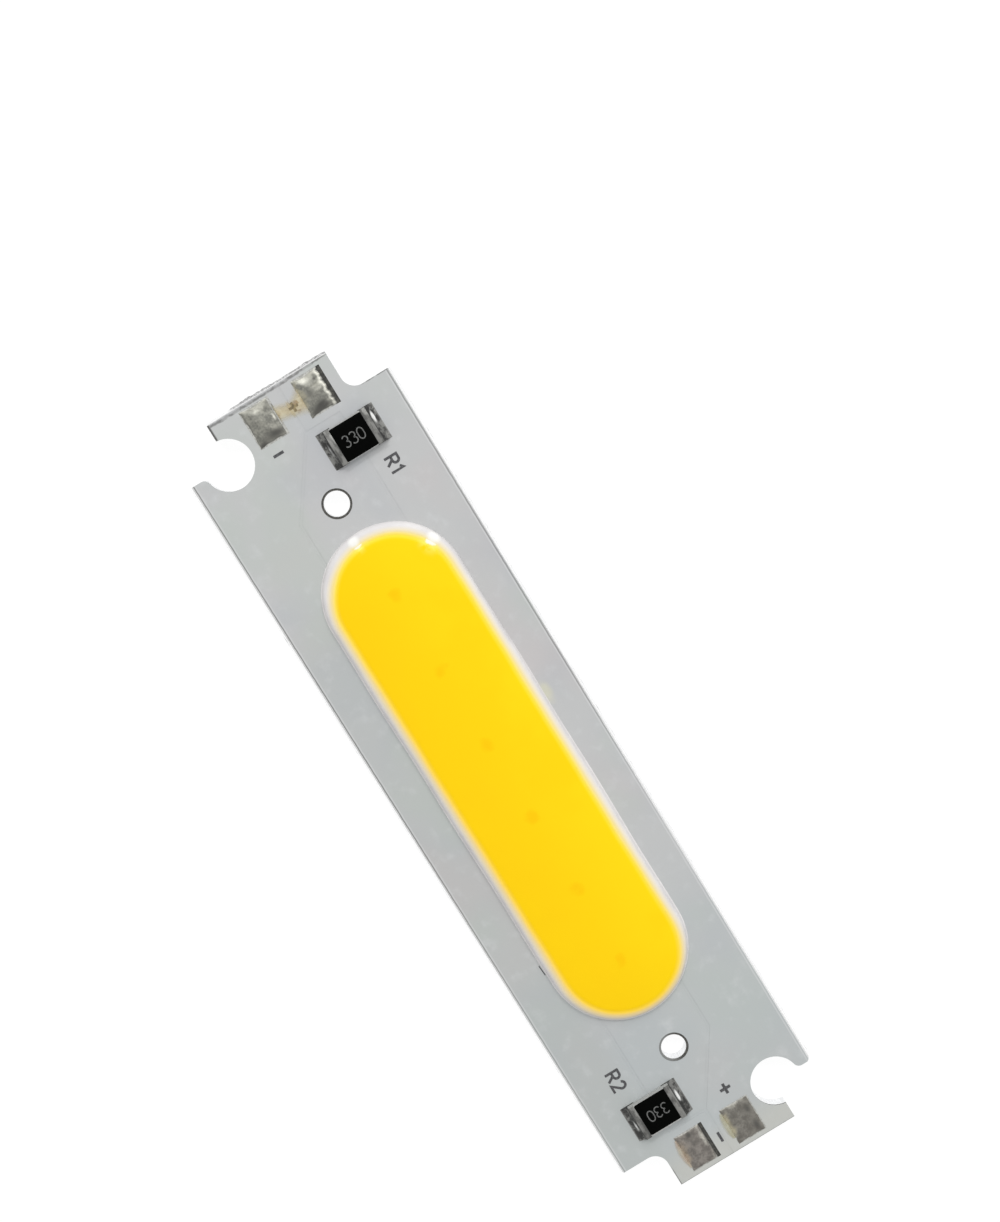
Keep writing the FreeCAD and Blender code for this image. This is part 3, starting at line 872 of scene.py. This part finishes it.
# %% Bend the cap
def rounded_corner(across, height, radius, first, steps=6):
    """A quarter circle about (across, height), from the angle first in quarter turns."""
    turn = np.linspace(first, first + 1, steps) * np.pi / 2
    return np.stack([across + radius * np.cos(turn), height + radius * np.sin(turn)], 1)


def cap_points(low, high, body_low, body_high, outer):
    """The bracket section at five stations. The first and last are drawn in, as a worn edge is."""
    radius = 0.07
    dark_cut_rims = 0.012
    wall = high[2] - body_high[2]
    reach = high[1] - low[1]
    stations = [(low[0] - dark_cut_rims, dark_cut_rims), (low[0], 0.002), ((low[0] + high[0]) / 2, 0.0),
                (high[0], 0.002), (high[0] + dark_cut_rims, dark_cut_rims)]
    sections = []
    for x, inset in stations:
        top, bottom, end = high[2] - inset, low[2] + inset, reach - inset
        shape = np.concatenate([
            [(0.0, body_high[2]), (0.0, top - 0.01), (0.02, top)],
            rounded_corner(end - radius, top - radius, radius, 0)[::-1],
            rounded_corner(end - radius, bottom + radius, radius, 3)[::-1],
            [(0.0, bottom), (0.0, body_low[2]), (reach - wall, body_low[2]), (reach - wall, body_high[2])],
        ])
        across = low[1] + shape[:, 0] if outer > 0 else high[1] - shape[:, 0]
        sections.append(np.stack([np.full(len(shape), x), across, shape[:, 1]], 1))
    return np.array(sections)


print("a rounded corner has", len(rounded_corner(0.0, 0.0, 0.07, 0)), "points")


# %% Draw the solder up to the cap
def fillet_points(low, high, cap_low, cap_high, outer, lens, seed):
    """The fillet at 41 stations: up the cap's end, down a hollow curve to the land's edge, and back below.

    The curve's height falls with the power 1.7 of the way out, which is steep at the cap and flat at the
    toe. Towards both ends the climb is lower. The lens mark, a painted highlight, is a bell about its place
    along and way out."""
    slope = np.linspace(0, 1, 16)
    cap_end = cap_high[1] if outer > 0 else cap_low[1]
    toe = high[1] if outer > 0 else low[1]
    root = low[1] if outer > 0 else high[1]
    stations = np.linspace(-1, 1, 41)
    ripple = hills(stations * 1.3, stations * 0, 0.5, seed)
    sections = []
    for u, wave in zip(stations, ripple):
        climb = (high[2] - lacquer_top) * (1 - 0.30 * abs(u) ** 3 + 0.05 * wave)
        across = cap_end + (toe - cap_end) * slope
        rise = copper_top + 0.02 + climb * (1 - slope) ** 1.7
        shape = np.concatenate([[(root, copper_top), (root, cap_low[2]), (cap_end, cap_low[2])],
                                np.stack([across, rise], 1), [(toe, copper_top)]])
        x = (low[0] + high[0]) / 2 + u * (high[0] - low[0]) / 2
        sections.append(np.stack([np.full(len(shape), x), shape[:, 0], shape[:, 1]], 1))
    sections = np.array(sections)
    out = np.broadcast_to(np.concatenate([[0, 0, 0], slope, [1]]), sections.shape[:2])
    place, length, way_out, strength = lens
    bell = strength * np.exp(-((stations[:, None] - place) / length) ** 2 - ((out - way_out) / 0.22) ** 2)
    return sections, {"out_share": out, "lens": bell}


# the lens on each fillet, a painted highlight: its place along, from -1 to 1, its length in the same
# measure, its way out from 0 to 1, and its strength
painted_highlights = {
    "r1_inner": (-0.05, 0.75, 0.26, 0.52),
    "r1_outer": (-0.36, 0.38, 0.28, 1.00),
    "r2_inner": (-0.15, 0.36, 0.24, 1.05),
    "r2_outer": (0.10, 0.42, 0.26, 0.68),
}
print(len(painted_highlights), "fillets, each with a lens of light")


# %% Coat the chip
coat_shift = {1: (0.03, 0.0), 2: (-0.02, 0.04)}   # each coat is printed a little off its chip's middle
coat_edge = 0.006
coat_rise = 0.012


def coat_points(middle, half, low, thickness):
    """A cushion: outlines of power 20, which are nearly a rectangle, scaled from the middle to the rim."""
    turn = np.linspace(0, 2 * np.pi, 96, endpoint=False)
    round_run = np.stack([np.cos(turn), np.sin(turn)], 1)
    rim = np.sign(round_run) * np.abs(round_run) ** (2 / 20) * half
    reach = np.concatenate([np.linspace(0, 0.85, 5), np.linspace(0.85, 1, 8)[1:]])
    centre = np.broadcast_to(middle, rim.shape)
    top = carry_round(centre, rim, reach, low + coat_edge + thickness * (1 - reach ** 8))
    under = carry_round(centre, rim, np.array([1.0, 0.0]), np.full(2, low))
    return np.concatenate([top, under], 1)


print("coats are off the middle by", list(coat_shift.values()), "mm")


# %% Make the finishes of the chips' ends
def plating_finish():
    """Dull tin with streaks along the chip's end, and painted shade where the metal turns down."""
    f = Finish("tin plating")
    ends = abs(f.split(f.node("ShaderNodeNewGeometry", out="Normal"))[1])
    streak = f.noise(0.30, detail=3.0, stretch=(2.5, 1.0, 1.0), start=2.0)
    grain = f.noise(0.12, detail=4.0, start=6.0)
    tint = f.blend((92, 92, 90), (134, 134, 131), f.rise(streak + (grain - 0.5) * 0.3, 0.36, 0.64))
    # painted shade on the faces that turn down, found from their normal
    tint = f.blend(tint, (64, 64, 63), f.rise(ends, 0.10, 0.70))
    return f.surface({"Base Color": tint, "Metallic": 0.85, "Roughness": 0.36 + 0.14 * grain,
                      "Normal": f.relief(grain * 0.012, 0.6)})


def fillet_finish():
    """Dark and bright patches, a paler toe, and the lens, a painted highlight of a lamp, over them."""
    f = Finish("reflowed solder")
    patch = f.noise(0.55, detail=3.0, start=2.0)
    grain = f.noise(0.16, detail=4.0, start=6.0)
    tint = f.blend((62, 62, 61), (128, 128, 125), f.rise(patch + (grain - 0.5) * 0.6, 0.40, 0.66))
    tint = f.layers(tint, (
        ((140, 140, 137), f.rise(f.mark("out_share"), 0.80, 0.98) * 0.6),
        # the lens mark paints a lamp's highlight
        ((250, 250, 248), f.rise(f.mark("lens") + (patch - 0.5) * 0.35, 0.28, 0.80)),
    ))
    return f.surface({"Base Color": tint, "Metallic": 0.8, "Roughness": 0.30 + 0.2 * patch,
                      "Normal": f.relief(grain * 0.02 + patch * 0.05, 0.7)})


black_glass = speckled_finish("black glass", (0, 1, 0), (3, 4, 3), 0.16, (0.40, 0.55),
                              {"Specular IOR Level": 0.02})
cap_metal = plating_finish()
fillet_metal = fillet_finish()
print("made", black_glass.name, cap_metal.name, fillet_metal.name)

# %% Coat, cap and solder both resistors
for number in (1, 2):
    body_low, body_high = box_mm(f"resistor_{number}_body")
    coat_low, coat_high = box_mm(f"resistor_{number}_overcoat")
    middle = (coat_low + coat_high)[:2] / 2
    caps = []
    for seed, end in enumerate(("inner", "outer")):
        cap_node, solder_node = f"resistor_{number}_cap_{end}", f"solder_r{number}_{end}"
        cap_low, cap_high = box_mm(cap_node)
        outer = np.sign((cap_low + cap_high - body_low - body_high)[1])
        caps.append(cap_low[1] if outer > 0 else cap_high[1])
        sections = cap_points(cap_low, cap_high, body_low, body_high, outer)
        make_piece(f"r{number}_{end}_cap", sections, bar_faces(sections), cap_metal, [cap_node])
        low, high = box_mm(solder_node)
        lens = painted_highlights[f"r{number}_{end}"]
        sections, marks = fillet_points(low, high, cap_low, cap_high, outer, lens, seed + number * 10)
        make_piece(f"r{number}_{end}_fillet", sections, bar_faces(sections), fillet_metal,
                   [solder_node], marks, crease_deg=50.0)
    half = np.array([(coat_high - coat_low)[0] / 2 + 0.04, abs(caps[0] - caps[1]) / 2 + 0.06])
    thickness = cap_high[2] - coat_low[2] + coat_rise
    points = coat_points(middle + coat_shift[number], half, coat_low[2], thickness)
    make_piece(f"r{number}_coat", points, grid_faces(*points.shape[:2], True, False), black_glass,
               [f"resistor_{number}_overcoat"], crease_deg=60.0)

# %% [markdown]
# ## The wire pads
#
# Solder left on a bare pad freezes as a low hipped roof: ridges run to the pad's corners, which stay
# pinned, while the sides draw in and leave a film that flux has bleached. The height is therefore a rising
# function of the distance to the nearest drawn-in side, and the ridges come by themselves where two sides
# are equally near. The pads of the second end froze flatter. On two pads the solder stops short of a strip
# of bare copper, in a straight or a jagged lip with a painted highlight. Frosted solder also looks dull and
# bright in patches, which no height explains: a few soft spots per pad, painted highlights where bright and
# darker patches where dull. The facets are painted lighter towards the light and darker away from it. Each
# point carries how wet, stained, bare and bright it is.

# %% Make the pads' finishes


def pad_finish(name, dark, light, lit, stained):
    """Frosted metal in two soft tones, facets painted lighter towards the light and darker away from it,
    painted highlights and darker patches from the bright mark, a bleached film where it isn't wet, and a
    tint where stained.
    """
    f = Finish(name)
    wet, stain, bare, bright = [f.mark(mark) for mark in ("wet", "stain", "bare", "bright")]
    patch = f.noise(0.60, detail=3.0, start=2.0)
    grain = f.noise(0.14, detail=4.0, start=6.0)
    away_from_light = f.split(f.node("ShaderNodeNewGeometry", out="Normal"))[0] + (patch - 0.5) * 0.3
    uneven = (patch - 0.5) * 0.6 + (grain - 0.5) * 0.4
    metal = f.layers(f.blend(dark, light, f.rise(patch + (grain - 0.5) * 0.5, 0.30, 0.70)), (
        # painted light: facets facing the light are lighter and those facing away darker, as strongly as
        # lit
        ((196, 195, 184), f.rise(away_from_light * -1.0, 0.04, 0.36) * lit),
        ((88, 87, 83), f.rise(away_from_light, 0.04, 0.36) * lit),
        # painted highlights where the bright mark is high, and darker patches where it is low
        ((208, 207, 197), f.rise(bright + uneven, 0.10, 1.00)),
        ((78, 77, 74), f.rise(uneven - bright, 0.10, 0.95) * 0.85),
    ))
    film = f.blend((162, 162, 157), (188, 188, 183), f.rise(grain, 0.40, 0.60))
    copper_strip = f.blend((48, 48, 45), (84, 83, 77), grain)
    tint = f.layers(film, (
        (metal, f.rise(wet + (grain - 0.5) * 0.5, 0.15, 0.75)),
        (stained, f.rise(stain + (patch - 0.5) * 1.2, 0.15, 1.05) * 0.75),
        (copper_strip, bare),
    ))
    return f.surface({"Base Color": tint, "Metallic": 0.35 + 0.40 * wet, "Roughness": 0.46 + 0.16 * patch,
                      "Normal": f.relief(grain * 0.016 + patch * 0.02, 0.6)})


# lit is how strongly each pad's facets are painted lighter towards the light and darker away from it
rough_pad = pad_finish("tinned pad", (108, 108, 102), (150, 149, 140), 0.40, (196, 184, 142))
flat_pad = pad_finish("dull tinned pad", (104, 101, 95), (132, 129, 122), 0.06, (188, 180, 148))
pink_pad = pad_finish("pinkish tinned pad", (106, 102, 97), (138, 133, 127), 0.06, (174, 156, 132))
print("made", rough_pad.name, flat_pad.name, pink_pad.name)


# %% Freeze the solder on a pad
square = 0.05
film_height = 0.02
rim_height = 0.05
sharpness = 7


def pad_sheet(low, high, shape, spots, seed):
    """The pad as a sheet of small squares, with its marks.

    Each side is drawn in by pull x (1 - place squared), and a little by chance. With d the millimetres to
    the nearest such side and D their largest value, height = film + step(d) x (rim + peak x min(d / D,
    top) / top + lumps). The least of the four is taken softly, as -log(sum of exp(-d x s)) / s with s the
    sharpness, which rounds the ridges."""
    pulls, peak, top_share, ripple, jags, lip, stained = shape
    steps_x, steps_y = ((high - low)[:2] / square).astype(int)
    u, v = np.meshgrid(np.linspace(-1, 1, steps_x), np.linspace(-1, 1, steps_y), indexing="ij")
    middle, half = (low + high)[:2] / 2, (high - low)[:2] / 2
    x, y = middle[0] + u * half[0], middle[1] + v * half[1]
    chance = hills(x, y, 0.5, seed) * ripple
    torn = (hills(x, y * 0, 0.30, seed + 3) + 0.1) * jags
    left, right, near_side, far_side = pulls
    gap = np.stack([(1 + u) * half[0] - left * (1 - v ** 2),
                    (1 - u) * half[0] - right * (1 - v ** 2),
                    (1 + v) * half[1] - near_side * (1 - u ** 2),
                    (1 - v) * half[1] - far_side + torn])
    wet = np.clip((gap.min(0) + chance) / 0.07, 0, 1)
    wet = wet * wet * (3 - 2 * wet)
    soft = -np.log(np.exp(-sharpness * gap).sum(0)) / sharpness
    roof = np.clip(soft / soft.max(), 0, top_share) / top_share
    lumps = hills(x, y, 0.6, seed + 1) * 0.020 + hills(x, y, 0.28, seed + 2) * 0.008
    bare = (lip > 0) * np.clip(1 - gap[3] / 0.03, 0, 1)
    # a painted highlight along the lip
    bright = lip * np.exp(-((gap[3] - 0.16) / 0.15) ** 2)
    top = copper_top + film_height + wet * (rim_height + peak * roof + lumps + 0.03 * bright)
    for spot_x, spot_y, size_x, size_y, strength in spots:
        bright = bright + strength * np.exp(-((x - spot_x) / size_x) ** 2 - ((y - spot_y) / size_y) ** 2)
    stain = stained * np.exp(-(gap[2] / 0.40) ** 2) * (1 - np.clip(np.abs(u + 0.15), 0, 1) ** 2)
    marks = {"wet": wet, "stain": stain, "bare": bare, "bright": bright}
    points, faces = sheet_with_top(x, y, top, copper_top)
    return points, faces, {name: np.stack([mark, mark]) for name, mark in marks.items()}


# how far the -X, +X, -Y and +Y sides drew in, peak, where the roof levels off, ripple of the sides, jags
# and painted highlight of a lip along the +Y side, and stain along the -Y side
pad_shapes = {
    "positive_r1_end": ((0.14, 0.10, 0.06, 0.03), 0.22, 1.00, 0.06, 0.11, 0.75, 0.5),
    "negative_r1_end": ((0.10, 0.10, 0.08, 0.14), 0.22, 1.00, 0.07, 0.00, 0.0, 0.0),
    "positive_r2_end": ((0.06, 0.04, 0.04, 0.04), 0.04, 0.30, 0.05, 0.00, 0.0, 0.7),
    "negative_r2_end": ((0.08, 0.04, 0.06, 0.00), 0.04, 0.35, 0.05, 0.015, 0.42, 0.75),
}
print("pads peak at", [shape[1] for shape in pad_shapes.values()], "mm")

# %% Tin the four pads
# each spot has its X, Y, sizes along X and Y, and brightness, a painted highlight above 0, darker below
pad_highlights_and_dark_spots = {
    "positive_r1_end": (
        (-29.08, 2.31, 0.24, 0.45, 0.85), (-28.60, 3.15, 0.40, 0.20, 0.2), (-27.16, 2.60, 0.30, 0.46, -1.2),
        (-28.85, 3.00, 0.16, 0.16, -0.9), (-26.95, 1.90, 0.24, 0.40, -0.7), (-28.2, 2.3, 0.4, 0.5, -0.45)),
    "negative_r1_end": (
        (-28.98, -1.34, 0.18, 0.42, 0.50), (-28.14, -0.47, 0.26, 0.08, 0.9),
        (-27.18, -0.85, 0.28, 0.70, -0.9), (-26.85, -2.00, 0.30, 0.36, -0.9),
        (-28.20, -0.28, 0.30, 0.06, -0.9), (-28.3, -1.9, 0.5, 0.3, -0.3)),
    "positive_r2_end": (
        (26.86, 1.40, 0.24, 0.85, 0.40), (28.00, 2.42, 0.90, 0.10, 0.45), (27.55, 2.02, 0.45, 0.26, -0.7),
        (28.90, 2.00, 0.50, 0.26, -0.8), (27.30, 0.45, 0.40, 0.12, 0.15)),
    "negative_r2_end": (
        (27.05, -2.30, 0.24, 0.24, -0.9), (27.70, -2.30, 0.30, 0.18, -0.5),
        (28.04, -3.08, 0.12, 0.08, -1.0), (27.60, -1.62, 0.40, 0.24, 0.18),
        (28.70, -1.65, 0.26, 0.20, -0.5)),
}
pad_metals = (rough_pad, rough_pad, flat_pad, pink_pad)
for seed, (pad, metal) in enumerate(zip(pad_shapes, pad_metals)):
    low, high = box_mm("solder_" + pad)
    points, faces, marks = pad_sheet(low, high, pad_shapes[pad], pad_highlights_and_dark_spots[pad], seed * 7 + 3)
    make_piece("tinning_" + pad, points, faces, metal, ["solder_" + pad], marks, 35.0)

# %% [markdown]
# ## Flux
#
# Rosin flux boils out of the joint and dries beside it as a thin amber film: between the two pads of the
# first end, and along one side of the pads of the second. Each is a thin sheet whose alpha falls towards
# its outline. The outline is a half width about a middle line, both given at a few places along Y or X and
# joined by straight runs.

# %% Make the flux


def film_finish(name, dark, light, spot, strength, spot_strength):
    """Two ambers in clouds with darker spots, clearer where it is thin."""
    f = Finish(name)
    inside = f.mark("inside")
    cloud = f.noise(0.5, detail=3.0)
    spots = f.rise(f.noise(0.34, detail=2.0, start=4.0), 0.56, 0.70) * f.rise(inside, 0.3, 0.6)
    tint = f.blend(f.blend(dark, light, f.rise(cloud, 0.35, 0.65)), spot, spots)
    thick = f.rise(inside, 0.0, 0.9) * (0.5 + cloud).least(1.0)
    alpha = thick * (strength + (spot_strength - strength) * spots)
    return f.surface({"Base Color": tint, "Roughness": 0.25 + 0.2 * cloud, "Alpha": alpha,
                      "Normal": f.relief(cloud * 0.02), "Specular IOR Level": 0.3})


flux = film_finish("amber flux", (210, 194, 156), (222, 212, 180), (178, 154, 116), 0.72, 0.8)
thin_flux = film_finish("thin flux", (192, 184, 146), (200, 196, 168), (180, 168, 120), 0.55, 0.6)
pink_flux = film_finish("pink flux", (196, 172, 148), (204, 192, 168), (184, 160, 118), 0.55, 0.6)
print("made", flux.name, thin_flux.name, pink_flux.name)

# %% Dry the flux
flux_thickness = 0.03
over_ink = lacquer_top + 0.016


def film_sheet(places, across_at, half_at, along_y, seed):
    """A sheet along X or Y, with 1 on its middle line and 0 at its outline as the mark."""
    run = np.linspace(places[0], places[-1], 40)
    middle, half = np.interp(run, places, across_at), np.interp(run, places, half_at)
    half = half * (1 + 0.12 * hills(run, run * 0, 0.6, seed))
    share = np.linspace(-1, 1, 25)[None, :]
    across = middle[:, None] + half[:, None] * share
    along = np.broadcast_to(run[:, None], across.shape)
    ends = np.minimum(run - places[0], places[-1] - run)[:, None] / 0.15
    inside = np.minimum(1 - np.abs(share), np.clip(ends, 0, 1))
    top = over_ink + flux_thickness * inside ** 0.5
    x, y = (across, along) if along_y else (along, across)
    points, faces = sheet_with_top(x, y, top, lacquer_top - 0.01)
    return points, faces, {"inside": np.stack([inside, inside])}


# name, places along, middle line there, half width there, whether it runs along Y, finish
films = (
    ("flux_between_r1_pads", (-0.30, 0.1, 0.5, 0.9, 1.3, 1.72), (-28.2, -28.1, -28.0, -27.9, -28.0, -28.1),
     (0.75, 0.72, 0.66, 0.72, 0.95, 1.15), True, flux),
    ("flux_positive_r2_end", (26.9, 27.3, 27.9, 28.6, 29.0), (0.28, 0.22, 0.20, 0.22, 0.26),
     (0.10, 0.26, 0.34, 0.28, 0.10), False, thin_flux),
    ("flux_negative_r2_end", (26.9, 27.3, 27.9, 28.6, 29.2), (-3.26, -3.30, -3.32, -3.30, -3.26),
     (0.10, 0.24, 0.34, 0.28, 0.10), False, pink_flux),
)
for seed, (name, places, across_at, half_at, along_y, finish) in enumerate(films):
    points, faces, marks = film_sheet(places, across_at, half_at, along_y, seed)
    make_piece(name, points, faces, finish, marks=marks, crease_deg=80.0)

# %% [markdown]
# ## Printed signs
#
# The polarity signs, the resistors' numbers and the value on each chip are pen strokes of one width, as a
# plotter would draw them. A font would do, but its strokes swell and have feet. Each sign here is a few
# lines and arcs in a box one unit high, and a flat ribbon is carried along them. A hair that settled
# beside the bead is one more stroke.


# %% Draw the signs
def arc(centre_x, centre_y, radius_x, radius_y, start_deg, end_deg, steps=14):
    """Points on an ellipse between two angles."""
    turn = np.radians(np.linspace(start_deg, end_deg, steps))
    return np.stack([centre_x + radius_x * np.cos(turn), centre_y + radius_y * np.sin(turn)], 1)


signs = {
    "R": [np.concatenate([[(0.0, 0.0), (0.0, 1.0)], arc(0.34, 0.75, 0.25, 0.25, 90, -90), [(0.06, 0.5)]]),
          np.array([(0.30, 0.46), (0.60, 0.0)])],
    "1": [np.array([(0.0, 0.78), (0.22, 1.0), (0.22, 0.0)])],
    "2": [np.concatenate([arc(0.28, 0.72, 0.26, 0.28, 165, -25), [(0.0, 0.0), (0.58, 0.0)]])],
    "3": [np.concatenate([arc(0.24, 0.76, 0.24, 0.24, 150, -75), arc(0.24, 0.26, 0.26, 0.26, 75, -150)])],
    "0": [np.concatenate([arc(0.27, 0.62, 0.27, 0.38, 0, 180), arc(0.27, 0.38, 0.27, 0.38, 180, 360),
                          [(0.54, 0.62)]])],
    "+": [np.array([(-0.5, 0.5), (0.5, 0.5)]), np.array([(0.0, 0.0), (0.0, 1.0)])],
    "-": [np.array([(-0.5, 0.5), (0.5, 0.5)])],
}
sign_width = {"R": 0.60, "1": 0.24, "2": 0.58, "3": 0.50, "0": 0.54, "+": 0.0, "-": 0.0}
print(len(signs), "signs are drawn in", sum(len(paths) for paths in signs.values()), "strokes")


# %% Turn strokes into ribbons
def ribbon(path, half, low, high):
    """Sections of a flat bar along a path, each across the mean of its two runs and widened at the bend."""
    runs = np.diff(path, axis=0)
    runs = runs / np.linalg.norm(runs, axis=1)[:, None]
    before, after = np.vstack([runs[:1], runs]), np.vstack([runs, runs[-1:]])
    mean = before + after
    mean = mean / np.linalg.norm(mean, axis=1)[:, None]
    wide = half / np.clip((mean * after).sum(1), 0.5, 1)
    across = np.stack([-mean[:, 1], mean[:, 0]], 1) * wide[:, None]
    left, right = path + across, path - across
    corners = [(left, low), (left, high), (right, high), (right, low)]
    return np.stack([np.column_stack([flat, np.full(len(path), z)]) for flat, z in corners], 1)


def print_sign(name, text, middle, tall, turn_deg, stroke, floor_z, ink, thickness=0.012, gap=0.30):
    """Writes a short text with its middle at a point and its baseline turned by an angle.

    Each stroke is 0.001 mm higher than the one before, so that no two tops lie in one plane."""
    width = sum(sign_width[letter] for letter in text) + gap * (len(text) - 1)
    turn = math.radians(turn_deg)
    turned = np.array([[math.cos(turn), math.sin(turn)], [-math.sin(turn), math.cos(turn)]])
    points, faces, start = [], [], -width / 2
    for letter in text:
        for path in signs[letter]:
            flat = ((path + [start, -0.5]) * tall) @ turned + middle
            top = floor_z + thickness + 0.001 * len(points)
            sections = ribbon(flat, stroke / 2, floor_z - 0.003, top)
            first = sum(len(p) for p in points)
            faces += [[first + corner for corner in face] for face in bar_faces(sections)]
            points.append(sections.reshape(-1, 3))
        start += sign_width[letter] + gap
    make_piece(name, np.concatenate(points), faces, ink)


print("a straight ribbon has", ribbon(signs["-"][0], 0.1, 0.0, 0.01).size // 3, "points")

# %% Print the signs
board_ink = speckled_finish("legend ink", (56, 56, 58), (88, 88, 90), 0.10, (0.5, 0.7))
brown_ink = speckled_finish("legend ink in flux", (106, 94, 68), (150, 134, 98), 0.16, (0.5, 0.7))
chip_ink = speckled_finish("chip marking", (72, 73, 72), (114, 115, 113), 0.07, (0.5, 0.7))
chip_tops = [box_mm(f"resistor_{n}_cap_inner")[1][2] + coat_edge + coat_rise for n in (1, 2)]
chip_middles = [sum(box_mm(f"resistor_{n}_overcoat"))[:2] / 2 + coat_shift[n] for n in (1, 2)]
print_sign("sign_r1", "R1", (-21.60, 4.50), 0.88, 0, 0.17, lacquer_top, board_ink)
print_sign("sign_r2", "R2", (21.26, -4.51), 0.92, 0, 0.17, lacquer_top, board_ink)
print_sign("plus_r1_end", "+", (-28.00, 0.91), 0.66, 0, 0.18, over_ink + flux_thickness, brown_ink, 0.004)
print_sign("minus_r1_end", "-", (-25.93, -1.50), 0.73, 90, 0.19, lacquer_top, board_ink)
print_sign("plus_r2_end", "+", (25.62, 1.46), 0.76, 0, 0.20, lacquer_top, board_ink)
print_sign("minus_r2_end", "-", (28.34, -0.54), 0.74, 0, 0.18, lacquer_top, board_ink)
print_sign("value_r1", "330", chip_middles[0], 0.76, 90, 0.075, chip_tops[0], chip_ink, 0.010, 0.20)
print_sign("value_r2", "330", chip_middles[1], 0.76, -90, 0.075, chip_tops[1], chip_ink, 0.010, 0.20)
print_sign("stray_hair", "-", (12.10, -4.76), 0.76, 3, 0.06, lacquer_top, board_ink)

# %% [markdown]
# ## The snapped edge
#
# Boards are scored from both sides and broken apart. The metal left between the two scores tears and
# leaves a ragged lip, which shows best along the end by resistor 1. A thin bar with an uneven outer side,
# carried along each snapped edge, is enough. Two sizes of waves multiplied leave stretches with almost no
# lip. There the bar's side lies a hair inside the plate, because two faces in one plane render black.

# %% Leave a torn lip on the snapped edges
tear = speckled_finish("torn aluminium", (142, 142, 142), (214, 214, 215), 0.14, (0.35, 0.6),
                       {"Metallic": 0.9})
tear_low, tear_high = 0.46, 0.70
lip_step = 0.06
hair_inside = 0.004


def torn_lip(start, end, outwards, depth, seed):
    """A bar along an edge. Its outer side stands out by chance between 0 and depth."""
    length = np.hypot(*np.subtract(end, start))
    run = np.linspace(0, 1, int(length / lip_step))
    place, level = run * length, run * 0
    edge = np.outer(1 - run, start) + np.outer(run, end)
    stretches = np.clip(0.45 + 1.4 * hills(place, level, 1.9, seed), 0, 1)
    teeth = np.clip(0.55 + 1.1 * hills(place, level, 0.33, seed + 1), 0.1, 1)
    out = (depth * stretches * teeth - hair_inside)[:, None] * np.array(outwards)
    tilt = hills(place, level, 1.7, seed + 2) * 0.06
    inside = edge - 0.05 * np.array(outwards)
    layers = [(inside, tear_low), (edge + out * 0.6, tear_low), (edge + out, (tear_low + tear_high) / 2),
              (edge + out * 0.5, tear_high), (inside, tear_high)]
    return np.stack([np.column_stack([flat, z + tilt]) for flat, z in layers], 1)


lips = (
    ("torn_lip_r1_end", (-half_length, -2.6), (-half_length, tab_half - 0.05), (-1, 0), 0.10),
    ("torn_lip_r2_end", (half_length, -tab_half + 0.05), (half_length, tab_half - 0.05), (1, 0), 0.02),
    ("torn_lip_far_side", (-26.9, half_width), (26.5, half_width), (0, 1), 0.02),
    ("torn_lip_near_side", (-26.5, -half_width), (26.9, -half_width), (0, -1), 0.02),
)
for seed, (name, start, end, outwards, depth) in enumerate(lips):
    sections = torn_lip(start, end, outwards, depth, seed * 5 + 1)
    make_piece(name, sections, bar_faces(sections), tear)
